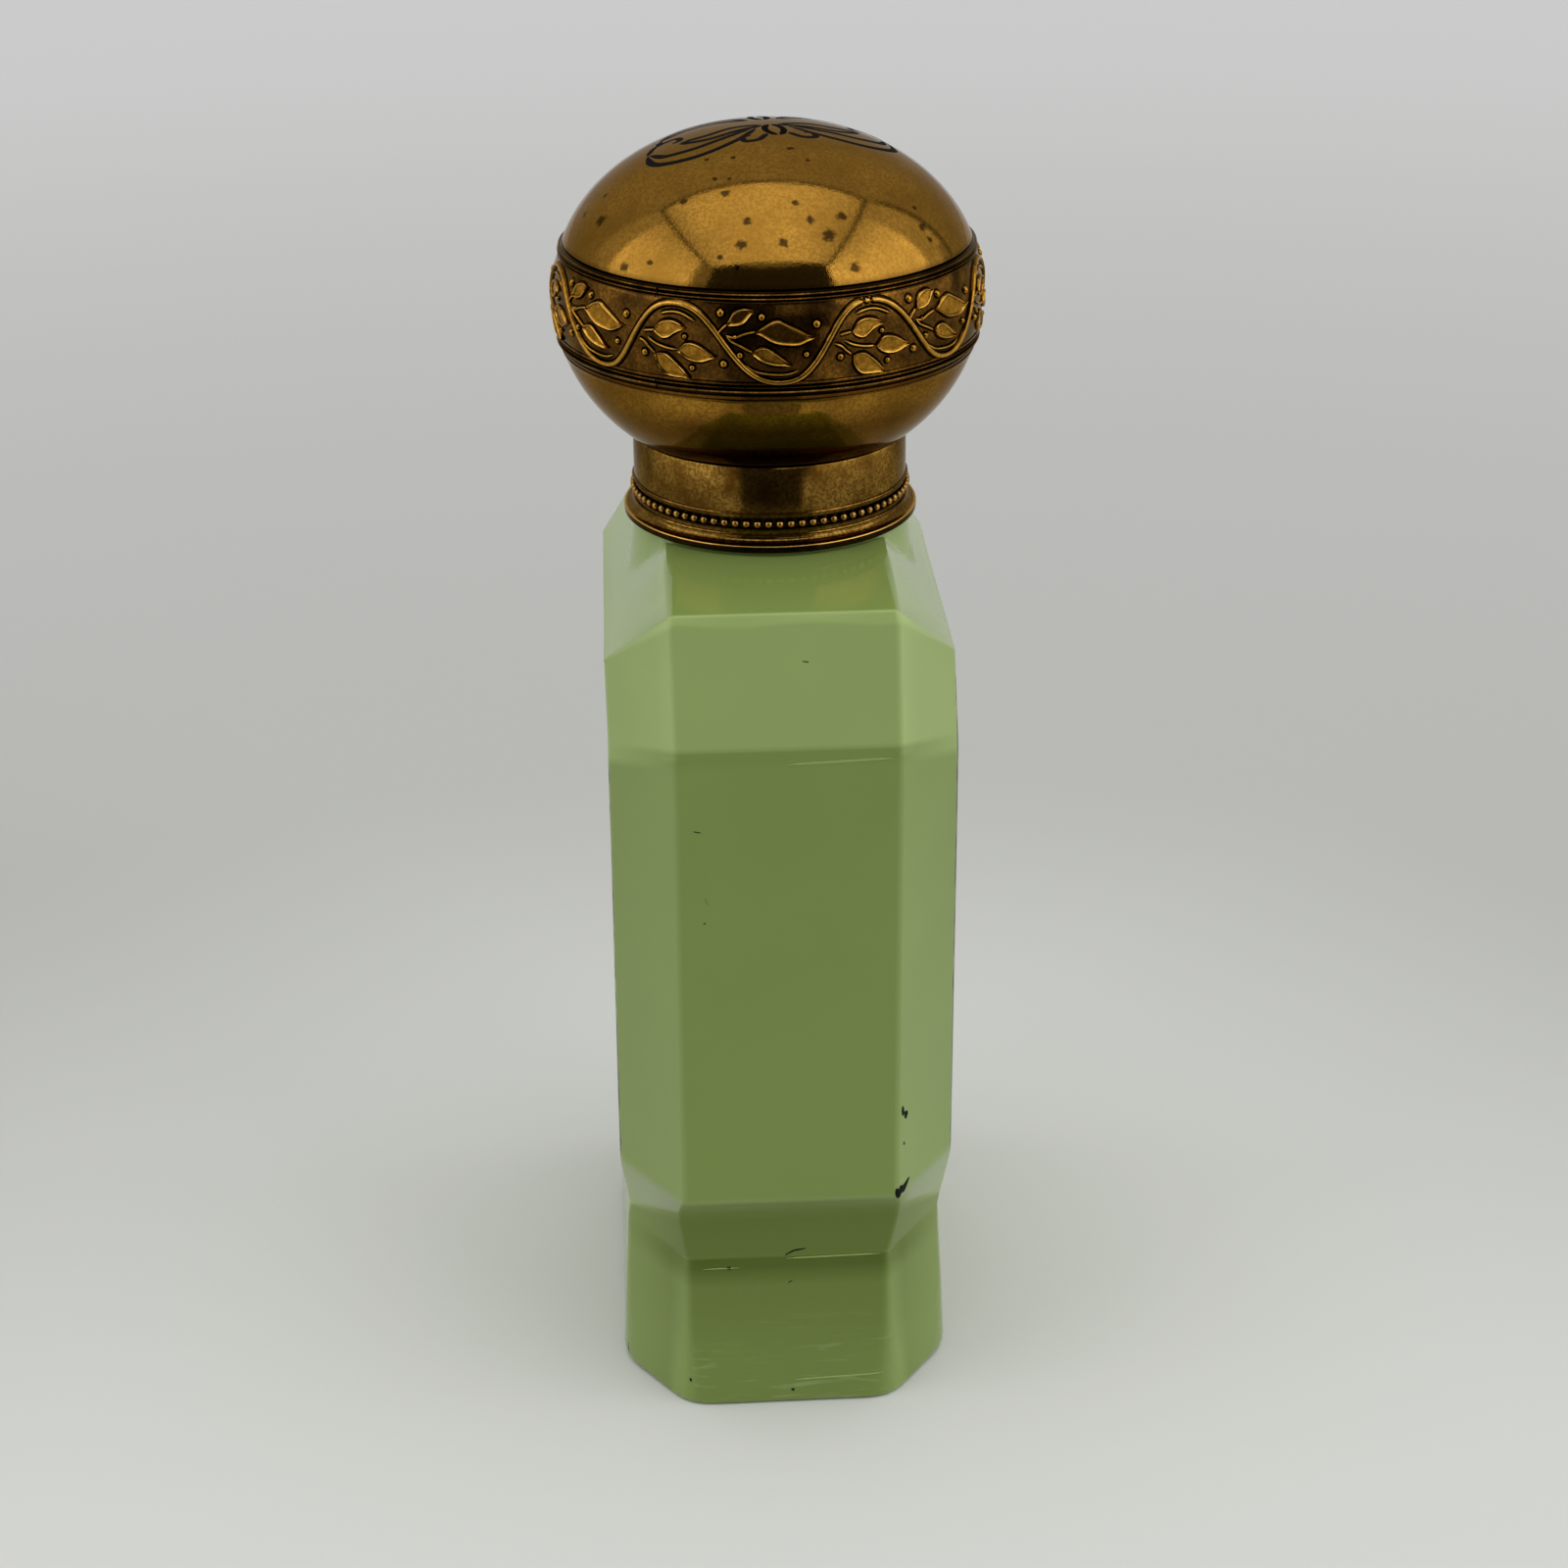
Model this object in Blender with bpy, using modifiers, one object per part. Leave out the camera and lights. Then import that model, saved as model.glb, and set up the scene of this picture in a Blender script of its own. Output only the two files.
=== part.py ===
"""Talcum powder bottle: a flat octagonal glass bottle, a brass sifter and a ball cap that screws off.

The narrow end faces -Y, the broad sides face -X and +X, and the bottle stands on Z = 0.
Sizes are in millimetres and the model is built in metres.
"""

import bmesh
import bpy
from math import asin, ceil, cos, pi, radians, sin, sqrt
from mathutils import Vector

MM = 0.001

# Glass bottle: plan
HALF_THICKNESS = 18.0
HALF_WIDTH = 28.9
CORNER_CUT_ACROSS = 6.7
CORNER_CUT_ALONG = 9.5

# Glass bottle: heights, each measured from the level below it
FOOT_HEIGHT = 18.3
COVE_RISE = 5.8
LEDGE_RISE = 1.5
PANEL_HEIGHT = 50.6
UPPER_PANEL_HEIGHT = 15.7
ROOF_RISE = 1.0
NECK_HEIGHT = 6.9

# Glass bottle: how far the level drops on the broad sides
LEDGE_DROP = 3.9
CREASE_DROP = 3.3
SHOULDER_DROP = 7.8

# Glass bottle: how far the outline draws in
FOOT_INSET = 0.05
COVE_INSET = 1.0
SHOULDER_INSET = 0.4
BASE_EDGE_RADIUS = 0.8

# Glass bottle: walls, neck and mouth
GLASS_WALL = 3.2
ROOF_WALL = 4.0
BASE_WALL = 5.0
NECK_SEAT_MARGIN = 0.2
NECK_SEAT_RISE = 0.15
NECK_WALL = 2.8
NECK_LIP_REACH = 1.0
NECK_LIP_HEIGHT = 2.0

# Plaster between the neck and the collar
PLASTER_THICKNESS = 1.9

# Collar
COLLAR_RADIUS = 14.2
COLLAR_WALL = 0.9
COLLAR_LIP_REACH = 0.7
COLLAR_LIP_THICKNESS = 0.6
COLLAR_FOOT_REACH = 1.1
COLLAR_RIM_HEIGHT = 0.9
COLLAR_LINE_PROUD = 0.25
COLLAR_LINE_WIDTH = 0.3

# Bead ring
BEAD_ROW_HEIGHT = 3.0
BEAD_PITCH = 1.13
BEAD_RADIUS = 0.43
BEAD_CHANNEL_DEPTH = 0.45
BEAD_STATIONS = 4
BEAD_NECK_SHARE = 0.1
BEAD_FLAT_SHARE = 0.3
BEAD_BACK_SHARE = 0.5

# Sifter head
SPOUT_WALL = 1.0
SPOUT_MARGIN = 1.7
SIFTER_PLATE_THICKNESS = 0.8
FLANGE_THICKNESS = 0.9
POUR_HOLE_RADIUS = 2.6
SIFTER_HOLE_RADIUS = 1.0
SIFTER_HOLE_RING_RADIUS = 6.4
SIFTER_HOLE_COUNT = 10

# Screw thread of sifter head and cap
THREAD_LEAD = 3.2
THREAD_TURNS = 1.25
THREAD_DEPTH = 0.8
THREAD_ROOT_WIDTH = 1.0
THREAD_CREST_WIDTH = 0.4
THREAD_CLEARANCE = 0.4
THREAD_START = 2.2
THREAD_BURY = 0.25

# Ball cap
BALL_RADIUS = 21.9
BALL_UPPER_HEIGHT = 17.0
BALL_LOWER_HEIGHT = 18.5
BALL_MOUTH_OVERHANG = 0.5
BALL_MOUTH_LIP = 1.4
BALL_WALL = 1.2
BAND_ABOVE_MIDDLE = 5.6
BAND_BELOW_MIDDLE = 4.7
BAND_PROUD = 0.35
BAND_SEAT_DEPTH = 0.6
BAND_LINE_WIDTH = 0.45
BAND_GROOVE_WIDTH = 0.4
BAND_GROOVE_DEPTH = 0.25

# Thread shell and liner inside the ball
SHELL_WALL = 0.6
LINER_THICKNESS = 2.3

# Gap between pieces that seat on each other
FIT = 0.3

# Power of the ball's outline: 2 is an ellipse, more is fuller
BALL_POWER = 2.08

# Facets of round pieces, and the angle from which an edge is drawn sharp
ROUND_STEPS = 48
ARC_STEPS = 8
INNER_ARC_STEPS = 4
BASE_EDGE_STEPS = 3
HOLE_STEPS = 8
POUR_HOLE_STEPS = 24
SHARP_ANGLE = 35.0
WELD = 0.01

# Levels of the glass
COVE_LEVEL = FOOT_HEIGHT + COVE_RISE
LEDGE_LEVEL = COVE_LEVEL + LEDGE_RISE
CREASE_LEVEL = LEDGE_LEVEL + PANEL_HEIGHT
SHOULDER_LEVEL = CREASE_LEVEL + UPPER_PANEL_HEIGHT
ROOF_LEVEL = SHOULDER_LEVEL + ROOF_RISE
SEAT_LEVEL = ROOF_LEVEL + NECK_SEAT_RISE
MOUTH_LEVEL = SEAT_LEVEL + NECK_HEIGHT

# Levels of the collar and the sifter head
COLLAR_BOTTOM = SEAT_LEVEL + FIT
FLANGE_BOTTOM = MOUTH_LEVEL + FIT
FLANGE_TOP = FLANGE_BOTTOM + FLANGE_THICKNESS
COLLAR_TOP = FLANGE_TOP + FIT + COLLAR_LIP_THICKNESS
MALE_THREAD_START = FLANGE_TOP + THREAD_START
SPOUT_TOP = MALE_THREAD_START + THREAD_LEAD * THREAD_TURNS + SPOUT_MARGIN

# Radii of the neck, which follow from the collar round it
COLLAR_FOOT_RADIUS = COLLAR_RADIUS + COLLAR_FOOT_REACH
COLLAR_BORE_RADIUS = COLLAR_RADIUS - COLLAR_WALL
NECK_SEAT_RADIUS = COLLAR_RADIUS + NECK_SEAT_MARGIN
PLASTER_RADIUS = COLLAR_BORE_RADIUS - FIT
PLASTER_BORE_RADIUS = PLASTER_RADIUS - PLASTER_THICKNESS
NECK_RADIUS = PLASTER_BORE_RADIUS - FIT
NECK_LIP_RADIUS = NECK_RADIUS + NECK_LIP_REACH
NECK_BORE_RADIUS = NECK_RADIUS - NECK_WALL

# Levels and radii of the ball
BALL_BOTTOM = COLLAR_TOP + FIT
BALL_MOUTH_RADIUS = COLLAR_RADIUS + BALL_MOUTH_OVERHANG
BALL_MOUTH_DEPTH_SHARE = (1.0 - (BALL_MOUTH_RADIUS / BALL_RADIUS) ** BALL_POWER) ** (1.0 / BALL_POWER)
BALL_MIDDLE = BALL_BOTTOM + BALL_LOWER_HEIGHT * BALL_MOUTH_DEPTH_SHARE
BALL_TOP = BALL_MIDDLE + BALL_UPPER_HEIGHT
BAND_BOTTOM = BALL_MIDDLE - BAND_BELOW_MIDDLE
BAND_TOP = BALL_MIDDLE + BAND_ABOVE_MIDDLE

# Radii of the thread shell in the ball's mouth, and of the spout that it screws on
BALL_MOUTH_BORE_RADIUS = BALL_MOUTH_RADIUS - BALL_MOUTH_LIP
SHELL_RADIUS = BALL_MOUTH_BORE_RADIUS - FIT
SHELL_BORE_RADIUS = SHELL_RADIUS - SHELL_WALL
THREAD_CREST_RADIUS = SHELL_BORE_RADIUS - THREAD_CLEARANCE
SPOUT_RADIUS = THREAD_CREST_RADIUS - THREAD_DEPTH

# Levels of the thread shell and the liner
LINER_BOTTOM = SPOUT_TOP + FIT
LINER_TOP = LINER_BOTTOM + LINER_THICKNESS
SHELL_ROOF = LINER_TOP + FIT
SHELL_BOTTOM = BALL_BOTTOM + FIT


def clear_scene():
    """Remove whatever the open file holds."""
    for thing in list(bpy.data.objects):
        bpy.data.objects.remove(thing, do_unlink=True)


def new_collection(name):
    """Add a collection to the scene."""
    group = bpy.data.collections.new(name)
    bpy.context.scene.collection.children.link(group)
    return group


def new_material(name, colour, roughness, metallic):
    """A plain Principled material in the piece's own colour."""
    material = bpy.data.materials.new(name)
    material.use_nodes = True
    shader = material.node_tree.nodes["Principled BSDF"]
    shader.inputs["Base Color"].default_value = (*colour, 1.0)
    shader.inputs["Roughness"].default_value = roughness
    shader.inputs["Metallic"].default_value = metallic
    return material


def new_object(name, mesh, group, material=None):
    """Wrap a mesh as a named object in a collection."""
    thing = bpy.data.objects.new(name, mesh)
    group.objects.link(thing)
    if material:
        mesh.materials.append(material)
    return thing


def mesh_from(name, points, faces=(), edges=()):
    """A mesh from points given in millimetres."""
    mesh = bpy.data.meshes.new(name)
    mesh.from_pydata([Vector(point) * MM for point in points], edges, faces)
    return mesh


def evaluated_mesh(thing):
    """The mesh of an object with its modifiers applied."""
    bpy.context.view_layer.update()
    depsgraph = bpy.context.evaluated_depsgraph_get()
    return bpy.data.meshes.new_from_object(thing.evaluated_get(depsgraph), depsgraph=depsgraph)


def turned(name, profile, group, material=None, closed=True, steps=ROUND_STEPS):
    """Turn a profile of (radius, height) points, which runs down its outer side, about the Z axis."""
    points = [(radius, 0.0, height) for radius, height in profile]
    edges = [(index, index + 1) for index in range(len(points) - 1)]
    if closed:
        edges.append((len(points) - 1, 0))
    thing = new_object(name, mesh_from(name, points, edges=edges), group, material)
    screw = thing.modifiers.new("turn", "SCREW")
    screw.axis = "Z"
    screw.angle = 2.0 * pi
    screw.steps = steps
    screw.render_steps = steps
    screw.use_merge_vertices = True
    screw.merge_threshold = WELD * MM
    thing.data = evaluated_mesh(thing)
    thing.modifiers.clear()
    thing.data.shade_smooth()
    thing.data.set_sharp_from_angle(angle=radians(SHARP_ANGLE))
    return thing


def as_cutter(thing):
    """Mark an object as a construction shape that is not part of the bottle."""
    thing.hide_render = True
    thing.display_type = "WIRE"
    return thing


def combine(thing, other, operation):
    """Join another shape to an object, or cut it away."""
    step = thing.modifiers.new(other.name, "BOOLEAN")
    step.operation = operation
    step.object = as_cutter(other)
    step.solver = "EXACT"


def arc(centre_radius, centre_height, radius, start, end, steps=ARC_STEPS):
    """Points of a circular arc in a turned profile, from one angle to another in degrees."""
    points = []
    for index in range(steps + 1):
        angle = radians(start + (end - start) * index / steps)
        points.append((centre_radius + radius * cos(angle), centre_height + radius * sin(angle)))
    return points


def octagon(inset, level, drop=0.0):
    """Eight corners of the bottle's plan, drawn in by an inset, with the broad sides lower by a drop."""
    corner_share = 2.0 - sqrt(2.0)
    across = HALF_THICKNESS - inset
    along = HALF_WIDTH - inset
    narrow = across - (CORNER_CUT_ACROSS - corner_share * inset)
    broad = along - (CORNER_CUT_ALONG - corner_share * inset)
    low = level - drop
    return [
        (narrow, -along, level), (across, -broad, low), (across, broad, low), (narrow, along, level),
        (-narrow, along, level), (-across, broad, low), (-across, -broad, low), (-narrow, -along, level),
    ]


def gabled_block(name, sections, roof_level, roof_half_length, group, material=None):
    """Loft octagons from the bottom up, and close the top with a level strip between two slopes."""
    points = [point for section in sections for point in section]
    faces = [tuple(range(7, -1, -1))]
    for row in range(len(sections) - 1):
        for side in range(8):
            low = row * 8 + side
            low_next = row * 8 + (side + 1) % 8
            faces.append((low, low_next, low_next + 8, low + 8))
    near_right, right_near, right_far, far_right, far_left, left_far, left_near, near_left = range(
        len(points) - 8, len(points)
    )
    half_strip = points[near_right][0]
    first = len(points)
    for x, y in ((1, -1), (1, 1), (-1, 1), (-1, -1)):
        points.append((x * half_strip, y * roof_half_length, roof_level))
    strip_near_right, strip_far_right, strip_far_left, strip_near_left = range(first, first + 4)
    faces += [
        (near_left, near_right, strip_near_right, strip_near_left),
        (strip_near_left, strip_near_right, strip_far_right, strip_far_left),
        (strip_far_left, strip_far_right, far_right, far_left),
        (near_right, right_near, strip_near_right),
        (right_near, right_far, strip_far_right, strip_near_right),
        (right_far, far_right, strip_far_right),
        (far_left, left_far, strip_far_left),
        (left_far, left_near, strip_near_left, strip_far_left),
        (left_near, near_left, strip_near_left),
    ]
    return new_object(name, mesh_from(name, points, faces), group, material)


def thread_ridge(name, root_radius, depth, start_level, start_turn, group):
    """One helical ridge. A positive depth stands outward, a negative one inward."""
    outward = 1.0 if depth > 0.0 else -1.0
    root = root_radius - outward * THREAD_BURY
    crest = root_radius + depth
    half_root = THREAD_ROOT_WIDTH / 2.0
    half_crest = THREAD_CREST_WIDTH / 2.0
    section = [(crest, half_crest), (crest, -half_crest), (root, -half_root), (root, half_root)]
    steps = ceil(ROUND_STEPS * THREAD_TURNS)
    points = []
    for index in range(steps + 1):
        turn = THREAD_TURNS * index / steps
        angle = 2.0 * pi * (start_turn + turn)
        level = start_level + THREAD_LEAD * turn
        for radius, rise in section:
            points.append((radius * cos(angle), radius * sin(angle), level + rise))
    faces = [(0, 1, 2, 3), tuple(4 * steps + index for index in (3, 2, 1, 0))]
    for row in range(steps):
        for side in range(4):
            here = row * 4 + side
            after = row * 4 + (side + 1) % 4
            faces.append((here, here + 4, after + 4, after))
    mesh = mesh_from(name, points, faces)
    mesh_edit = bmesh.new()
    mesh_edit.from_mesh(mesh)
    bmesh.ops.recalc_face_normals(mesh_edit, faces=mesh_edit.faces)
    mesh_edit.to_mesh(mesh)
    mesh_edit.free()
    return new_object(name, mesh, group)


def ball_share(share):
    """The share of the ball's radius at a share of its height, or the other way round."""
    return max(0.0, 1.0 - abs(share) ** BALL_POWER) ** (1.0 / BALL_POWER)


def ball_point(level, offset):
    """A point of the ball's turned outline at a height, moved out by an offset."""
    half_height = BALL_UPPER_HEIGHT if level > BALL_MIDDLE else BALL_LOWER_HEIGHT
    return ((BALL_RADIUS + offset) * ball_share((level - BALL_MIDDLE) / (half_height + offset)), level)


def ball_arc(top, bottom, offset, steps=ARC_STEPS):
    """The ball's outline between two heights on one side of its middle, evenly spaced by angle."""
    half_height = (BALL_UPPER_HEIGHT if top > BALL_MIDDLE else BALL_LOWER_HEIGHT) + offset
    start = asin(min(1.0, (top - BALL_MIDDLE) / half_height))
    end = asin((bottom - BALL_MIDDLE) / half_height)
    points = []
    for index in range(steps + 1):
        share = sin(start + (end - start) * index / steps)
        points.append(((BALL_RADIUS + offset) * ball_share(share), BALL_MIDDLE + half_height * share))
    return points


def make_glass_bottle(parts, cutters, material):
    """Pressed glass: stepped foot, tall panels, gabled shoulder, round seat and neck, hollow inside."""
    base_edge = arc(0.0, BASE_EDGE_RADIUS, BASE_EDGE_RADIUS, 0.0, -90.0, BASE_EDGE_STEPS)
    sections = []
    for radius, height in reversed(base_edge):
        sections.append(octagon(FOOT_INSET + BASE_EDGE_RADIUS - radius, height))
    sections += [
        octagon(COVE_INSET, FOOT_HEIGHT),
        octagon(COVE_INSET, COVE_LEVEL, LEDGE_DROP),
        octagon(0.0, LEDGE_LEVEL),
        octagon(0.0, CREASE_LEVEL, CREASE_DROP),
        octagon(SHOULDER_INSET, SHOULDER_LEVEL, SHOULDER_DROP),
    ]
    bottle = gabled_block("glass_bottle", sections, ROOF_LEVEL, NECK_SEAT_RADIUS, parts, material)
    lip_bottom = MOUTH_LEVEL - NECK_LIP_HEIGHT
    seat_root = SHOULDER_LEVEL - SHOULDER_DROP
    neck_profile = [
        (0.0, MOUTH_LEVEL),
        (NECK_LIP_RADIUS, MOUTH_LEVEL),
        (NECK_LIP_RADIUS, lip_bottom),
        (NECK_RADIUS, lip_bottom),
        (NECK_RADIUS, SEAT_LEVEL),
        (NECK_SEAT_RADIUS, SEAT_LEVEL),
        (NECK_SEAT_RADIUS, seat_root),
        (0.0, seat_root),
    ]
    neck = turned("neck", neck_profile, cutters, closed=False)
    inner_inset = GLASS_WALL + SHOULDER_INSET
    ceiling = SHOULDER_LEVEL - ROOF_WALL
    chamber = gabled_block(
        "powder_chamber",
        [
            octagon(COVE_INSET + GLASS_WALL, BASE_WALL),
            octagon(COVE_INSET + GLASS_WALL, COVE_LEVEL - LEDGE_DROP),
            octagon(GLASS_WALL, LEDGE_LEVEL + GLASS_WALL),
            octagon(GLASS_WALL, CREASE_LEVEL - ROOF_WALL, CREASE_DROP),
            octagon(inner_inset, ceiling, SHOULDER_DROP),
        ],
        ceiling + FIT,
        NECK_BORE_RADIUS,
        cutters,
    )
    bore_bottom = ceiling - ROOF_WALL
    bore_top = MOUTH_LEVEL + ROOF_WALL
    bore_profile = [
        (0.0, bore_top),
        (NECK_BORE_RADIUS, bore_top),
        (NECK_BORE_RADIUS, bore_bottom),
        (0.0, bore_bottom),
    ]
    bore = turned("neck_bore", bore_profile, cutters, closed=False)
    combine(bottle, neck, "UNION")
    combine(bottle, chamber, "DIFFERENCE")
    combine(bottle, bore, "DIFFERENCE")


def make_neck_plaster(parts, material):
    """Plaster bed between the glass neck and the collar."""
    top = MOUTH_LEVEL - NECK_LIP_HEIGHT - FIT
    bottom = SEAT_LEVEL + FIT
    profile = [
        (PLASTER_RADIUS, top),
        (PLASTER_RADIUS, bottom),
        (PLASTER_BORE_RADIUS, bottom),
        (PLASTER_BORE_RADIUS, top),
    ]
    turned("neck_plaster", profile, parts, material)


def make_collar(parts, material):
    """Spun brass ferrule: inward lip, plain sleeve, channel for the beads, cove and rolled foot."""
    bead_level = COLLAR_BOTTOM + BEAD_ROW_HEIGHT
    channel_half = BEAD_RADIUS + FIT
    line_radius = COLLAR_RADIUS + COLLAR_LINE_PROUD
    channel_radius = COLLAR_RADIUS - BEAD_CHANNEL_DEPTH
    upper_line = bead_level + channel_half + COLLAR_LINE_WIDTH
    lower_line = bead_level - channel_half - COLLAR_LINE_WIDTH
    rim_radius = COLLAR_RIM_HEIGHT / 2.0
    rim_level = COLLAR_BOTTOM + rim_radius
    lip_radius = COLLAR_BORE_RADIUS - COLLAR_LIP_REACH
    rim_centre = COLLAR_FOOT_RADIUS - rim_radius
    cove_reach = rim_centre - COLLAR_RADIUS
    cove_fall = lower_line - COLLAR_BOTTOM - COLLAR_RIM_HEIGHT
    cove = []
    for index in range(INNER_ARC_STEPS):
        angle = radians(90.0 * index / INNER_ARC_STEPS)
        cove.append((rim_centre - cove_reach * cos(angle), lower_line - cove_fall * sin(angle)))
    profile = [
        (COLLAR_RADIUS, COLLAR_TOP),
        (COLLAR_RADIUS, upper_line),
        (line_radius, upper_line - COLLAR_LINE_WIDTH / 2.0),
        (COLLAR_RADIUS, upper_line - COLLAR_LINE_WIDTH),
        (channel_radius, upper_line - COLLAR_LINE_WIDTH),
        (channel_radius, lower_line + COLLAR_LINE_WIDTH),
        (COLLAR_RADIUS, lower_line + COLLAR_LINE_WIDTH),
        (line_radius, lower_line + COLLAR_LINE_WIDTH / 2.0),
        *cove,
        *arc(rim_centre, rim_level, rim_radius, 90.0, -90.0, INNER_ARC_STEPS),
        (COLLAR_BORE_RADIUS, COLLAR_BOTTOM),
        (COLLAR_BORE_RADIUS, COLLAR_TOP - COLLAR_LIP_THICKNESS),
        (lip_radius, COLLAR_TOP - COLLAR_LIP_THICKNESS),
        (lip_radius, COLLAR_TOP),
    ]
    turned("collar", profile, parts, material)


def make_bead_ring(parts, material):
    """Beaded wire in the collar's channel: one strip that swells into a bead at each pitch."""
    level = COLLAR_BOTTOM + BEAD_ROW_HEIGHT
    back = COLLAR_RADIUS - BEAD_CHANNEL_DEPTH + FIT
    stations = round(2.0 * pi * COLLAR_RADIUS / BEAD_PITCH) * BEAD_STATIONS
    points = []
    for index in range(stations):
        angle = 2.0 * pi * index / stations
        swell = sin(pi * (index % BEAD_STATIONS) / BEAD_STATIONS)
        front = COLLAR_RADIUS + BEAD_RADIUS * (BEAD_NECK_SHARE + (1.0 - BEAD_NECK_SHARE) * swell)
        half_back = BEAD_RADIUS * (BEAD_BACK_SHARE + (1.0 - BEAD_BACK_SHARE) * swell)
        half_front = half_back * (1.0 - BEAD_FLAT_SHARE)
        section = [(front, half_front), (front, -half_front), (back, -half_back), (back, half_back)]
        for radius, rise in section:
            points.append((radius * cos(angle), radius * sin(angle), level + rise))
    total = len(points)
    faces = []
    for row in range(0, total, 4):
        for side in range(4):
            here = row + side
            after = row + (side + 1) % 4
            faces.append((after, (after + 4) % total, (here + 4) % total, here))
    new_object("bead_ring", mesh_from("bead_ring", points, faces), parts, material)


def make_sifter_head(parts, cutters, material):
    """Stamped brass spout: flange under the collar's lip, threaded wall, top with a pouring hole."""
    flange_radius = COLLAR_BORE_RADIUS - FIT
    bore = SPOUT_RADIUS - SPOUT_WALL
    plate_bottom = SPOUT_TOP - SIFTER_PLATE_THICKNESS
    profile = [
        (0.0, SPOUT_TOP),
        (SPOUT_RADIUS, SPOUT_TOP),
        (SPOUT_RADIUS, FLANGE_TOP),
        (flange_radius, FLANGE_TOP),
        (flange_radius, FLANGE_BOTTOM),
        (bore, FLANGE_BOTTOM),
        (bore, plate_bottom),
        (0.0, plate_bottom),
    ]
    head = turned("sifter_head", profile, parts, material, closed=False)
    ridge = thread_ridge("outside_thread", SPOUT_RADIUS, THREAD_DEPTH, MALE_THREAD_START, 0.0, cutters)
    combine(head, ridge, "UNION")
    holes = [(0.0, 0.0, POUR_HOLE_RADIUS, POUR_HOLE_STEPS)]
    for index in range(SIFTER_HOLE_COUNT):
        angle = 2.0 * pi * index / SIFTER_HOLE_COUNT
        x = SIFTER_HOLE_RING_RADIUS * cos(angle)
        y = SIFTER_HOLE_RING_RADIUS * sin(angle)
        holes.append((x, y, SIFTER_HOLE_RADIUS, HOLE_STEPS))
    punch_length = 4.0 * SIFTER_PLATE_THICKNESS
    punches = bmesh.new()
    for x, y, radius, steps in holes:
        punch = bmesh.ops.create_cone(
            punches,
            cap_ends=True,
            segments=steps,
            radius1=radius * MM,
            radius2=radius * MM,
            depth=punch_length * MM,
        )
        bmesh.ops.translate(punches, verts=punch["verts"], vec=Vector((x, y, SPOUT_TOP)) * MM)
    punch_mesh = bpy.data.meshes.new("sifter_punches")
    punches.to_mesh(punch_mesh)
    punches.free()
    combine(head, new_object("sifter_punches", punch_mesh, cutters), "DIFFERENCE")


def make_thread_shell(parts, cutters, material):
    """Brass cup in the ball's mouth, with the inside half of the screw thread."""
    roof_top = SHELL_ROOF + SHELL_WALL
    profile = [
        (0.0, roof_top),
        (SHELL_RADIUS, roof_top),
        (SHELL_RADIUS, SHELL_BOTTOM),
        (SHELL_BORE_RADIUS, SHELL_BOTTOM),
        (SHELL_BORE_RADIUS, SHELL_ROOF),
        (0.0, SHELL_ROOF),
    ]
    shell = turned("thread_shell", profile, parts, material, closed=False)
    lowest = SHELL_BOTTOM + THREAD_ROOT_WIDTH
    between_male_turns = MALE_THREAD_START + THREAD_LEAD / 2.0
    start_turn = (lowest - between_male_turns) / THREAD_LEAD
    ridge = thread_ridge("inside_thread", SHELL_BORE_RADIUS, -THREAD_DEPTH, lowest, start_turn, cutters)
    combine(shell, ridge, "UNION")
    return shell


def make_cap_liner(parts, material):
    """Card disc that closes the sifter's holes, loose above the thread."""
    radius = SHELL_BORE_RADIUS - FIT
    profile = [(0.0, LINER_TOP), (radius, LINER_TOP), (radius, LINER_BOTTOM), (0.0, LINER_BOTTOM)]
    return turned("cap_liner", profile, parts, material, closed=False)


def make_cap_bowl(parts, material):
    """Lower half of the ball, spun in brass: a seat for the band and a mouth for the thread shell."""
    joint = BALL_MIDDLE - FIT / 2.0
    seat_end = BAND_BOTTOM - FIT
    inner_share = ball_share(BALL_MOUTH_BORE_RADIUS / (BALL_RADIUS - BALL_WALL))
    inner_bottom = BALL_MIDDLE - (BALL_LOWER_HEIGHT - BALL_WALL) * inner_share
    profile = [
        *ball_arc(joint, seat_end, -BAND_SEAT_DEPTH, INNER_ARC_STEPS),
        *ball_arc(seat_end, BALL_BOTTOM, 0.0),
        (BALL_MOUTH_BORE_RADIUS, BALL_BOTTOM),
        *reversed(ball_arc(joint, inner_bottom, -BALL_WALL, INNER_ARC_STEPS)),
    ]
    return turned("cap_bowl", profile, parts, material)


def make_cap_dome(parts, material):
    """Upper half of the ball, spun in brass."""
    joint = BALL_MIDDLE + FIT / 2.0
    seat_end = BAND_TOP + FIT
    profile = [
        *ball_arc(BALL_TOP, seat_end, 0.0),
        *ball_arc(seat_end, joint, -BAND_SEAT_DEPTH, INNER_ARC_STEPS),
        *reversed(ball_arc(BALL_TOP - BALL_WALL, joint, -BALL_WALL, INNER_ARC_STEPS)),
    ]
    return turned("cap_dome", profile, parts, material, closed=False)


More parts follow.
